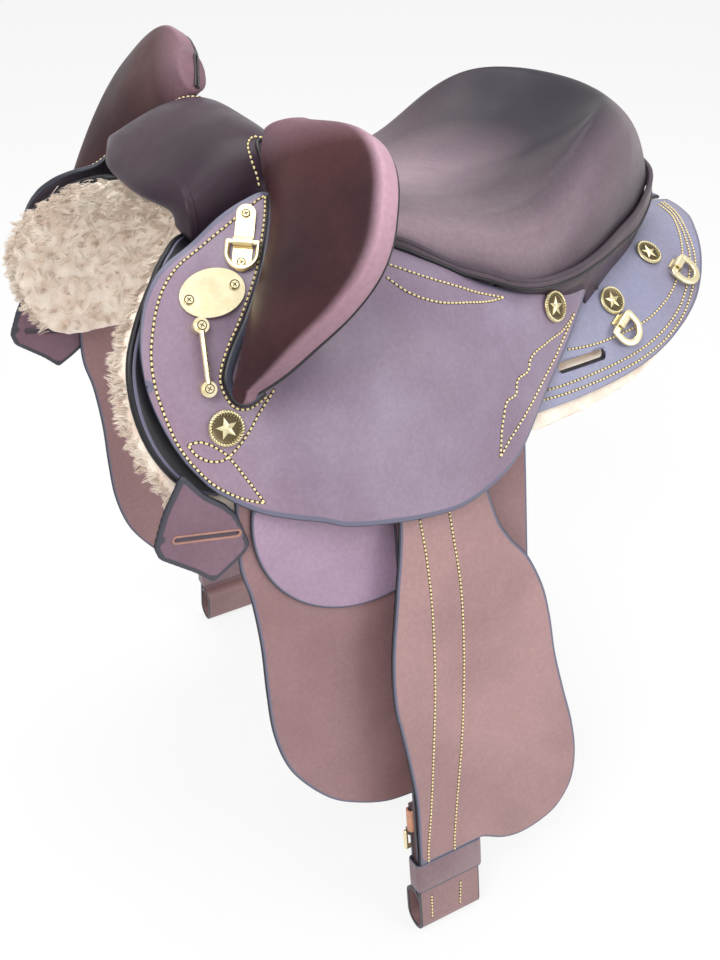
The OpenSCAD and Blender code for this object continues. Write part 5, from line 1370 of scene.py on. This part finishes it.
floor_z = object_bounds()[0][2]
floor_me = bpy.data.meshes.new("floor")
corners = ((-1, -1), (1, -1), (1, 1), (-1, 1))
floor_me.from_pydata([(x * FLOOR_REACH, y * FLOOR_REACH, floor_z) for x, y in corners], [], [(0, 1, 2, 3)])
floor = bpy.data.objects.new("floor", floor_me)
bpy.context.scene.collection.objects.link(floor)
floor_mat = bpy.data.materials.new("pale_floor")
floor_mat.use_nodes = True
tree = floor_mat.node_tree
tree.nodes.clear()
kinds = ("Emission", "BsdfDiffuse", "MixShader", "Math", "OutputMaterial")
glow, matte, both, part, out = (tree.nodes.new("ShaderNode" + kind) for kind in kinds)
part.operation = "MULTIPLY"
part.inputs[1].default_value = FLOOR_GLOW
matte.inputs["Color"].default_value = (FLOOR_GREY, FLOOR_GREY, FLOOR_GREY, 1)
glow.inputs["Color"].default_value = (1, 1, 1, 1)
tree.links.new(seen_share(tree), part.inputs[0])
for i, node in enumerate((part, matte, glow)):
    tree.links.new(node.outputs[0], both.inputs[i])
tree.links.new(both.outputs[0], out.inputs[0])
floor_me.materials.append(floor_mat)

world = bpy.data.worlds.new("studio")
bpy.context.scene.world = world
world.use_nodes = True
sky = world.node_tree
sky.nodes["Background"].inputs["Color"].default_value = (1, 1, 1, 1)
sky_level = sky.nodes.new("ShaderNodeMapRange")
sky_level.inputs["To Min"].default_value = LIGHT_LEVEL
sky_level.inputs["To Max"].default_value = SEEN_LEVEL
sky.links.new(seen_share(sky), sky_level.inputs["Value"])
sky.links.new(sky_level.outputs[0], sky.nodes["Background"].inputs["Strength"])


def lamp(name, place, aim, size, watts):
    light = bpy.data.lights.new(name, "AREA")
    light.size, light.energy = size, watts
    ob = bpy.data.objects.new(name, light)
    ob.location = place
    ob.rotation_euler = (Vector(aim) - Vector(place)).to_track_quat("-Z", "Y").to_euler()
    bpy.context.scene.collection.objects.link(ob)


lamp("key", (1.5, -1.6, 2.2), (0, 0, 0), 1.6, 55)
lamp("fill", (2.2, 1.4, 1.0), (0, 0, -0.1), 1.6, 26)
lamp("top", (-0.5, 0.3, 2.6), (0, 0, 0), 2.0, 40)

# The photo's camera
CAMERA_AT, SENSOR, LENS = (0.9044, -0.5018, 0.4499), 36, 42.75
turn, tilt = math.radians(60.77), math.radians(33.96)
right = Vector((math.cos(turn), math.sin(turn), 0))
ahead = Vector((-math.sin(turn) * math.cos(tilt), math.cos(turn) * math.cos(tilt), -math.sin(tilt)))
above = right.cross(ahead)
camera_data = bpy.data.cameras.new("photo_camera")
camera_data.sensor_fit, camera_data.sensor_height, camera_data.lens = "VERTICAL", SENSOR, LENS
camera_data.clip_start, camera_data.clip_end = 0.01, 60
camera = bpy.data.objects.new("photo_camera", camera_data)
facing = Matrix((right, above, -ahead)).transposed().to_4x4()
camera.matrix_world = Matrix.Translation(CAMERA_AT) @ facing
bpy.context.scene.collection.objects.link(camera)
bpy.context.scene.camera = camera
bpy.context.scene.view_settings.view_transform = "Standard"
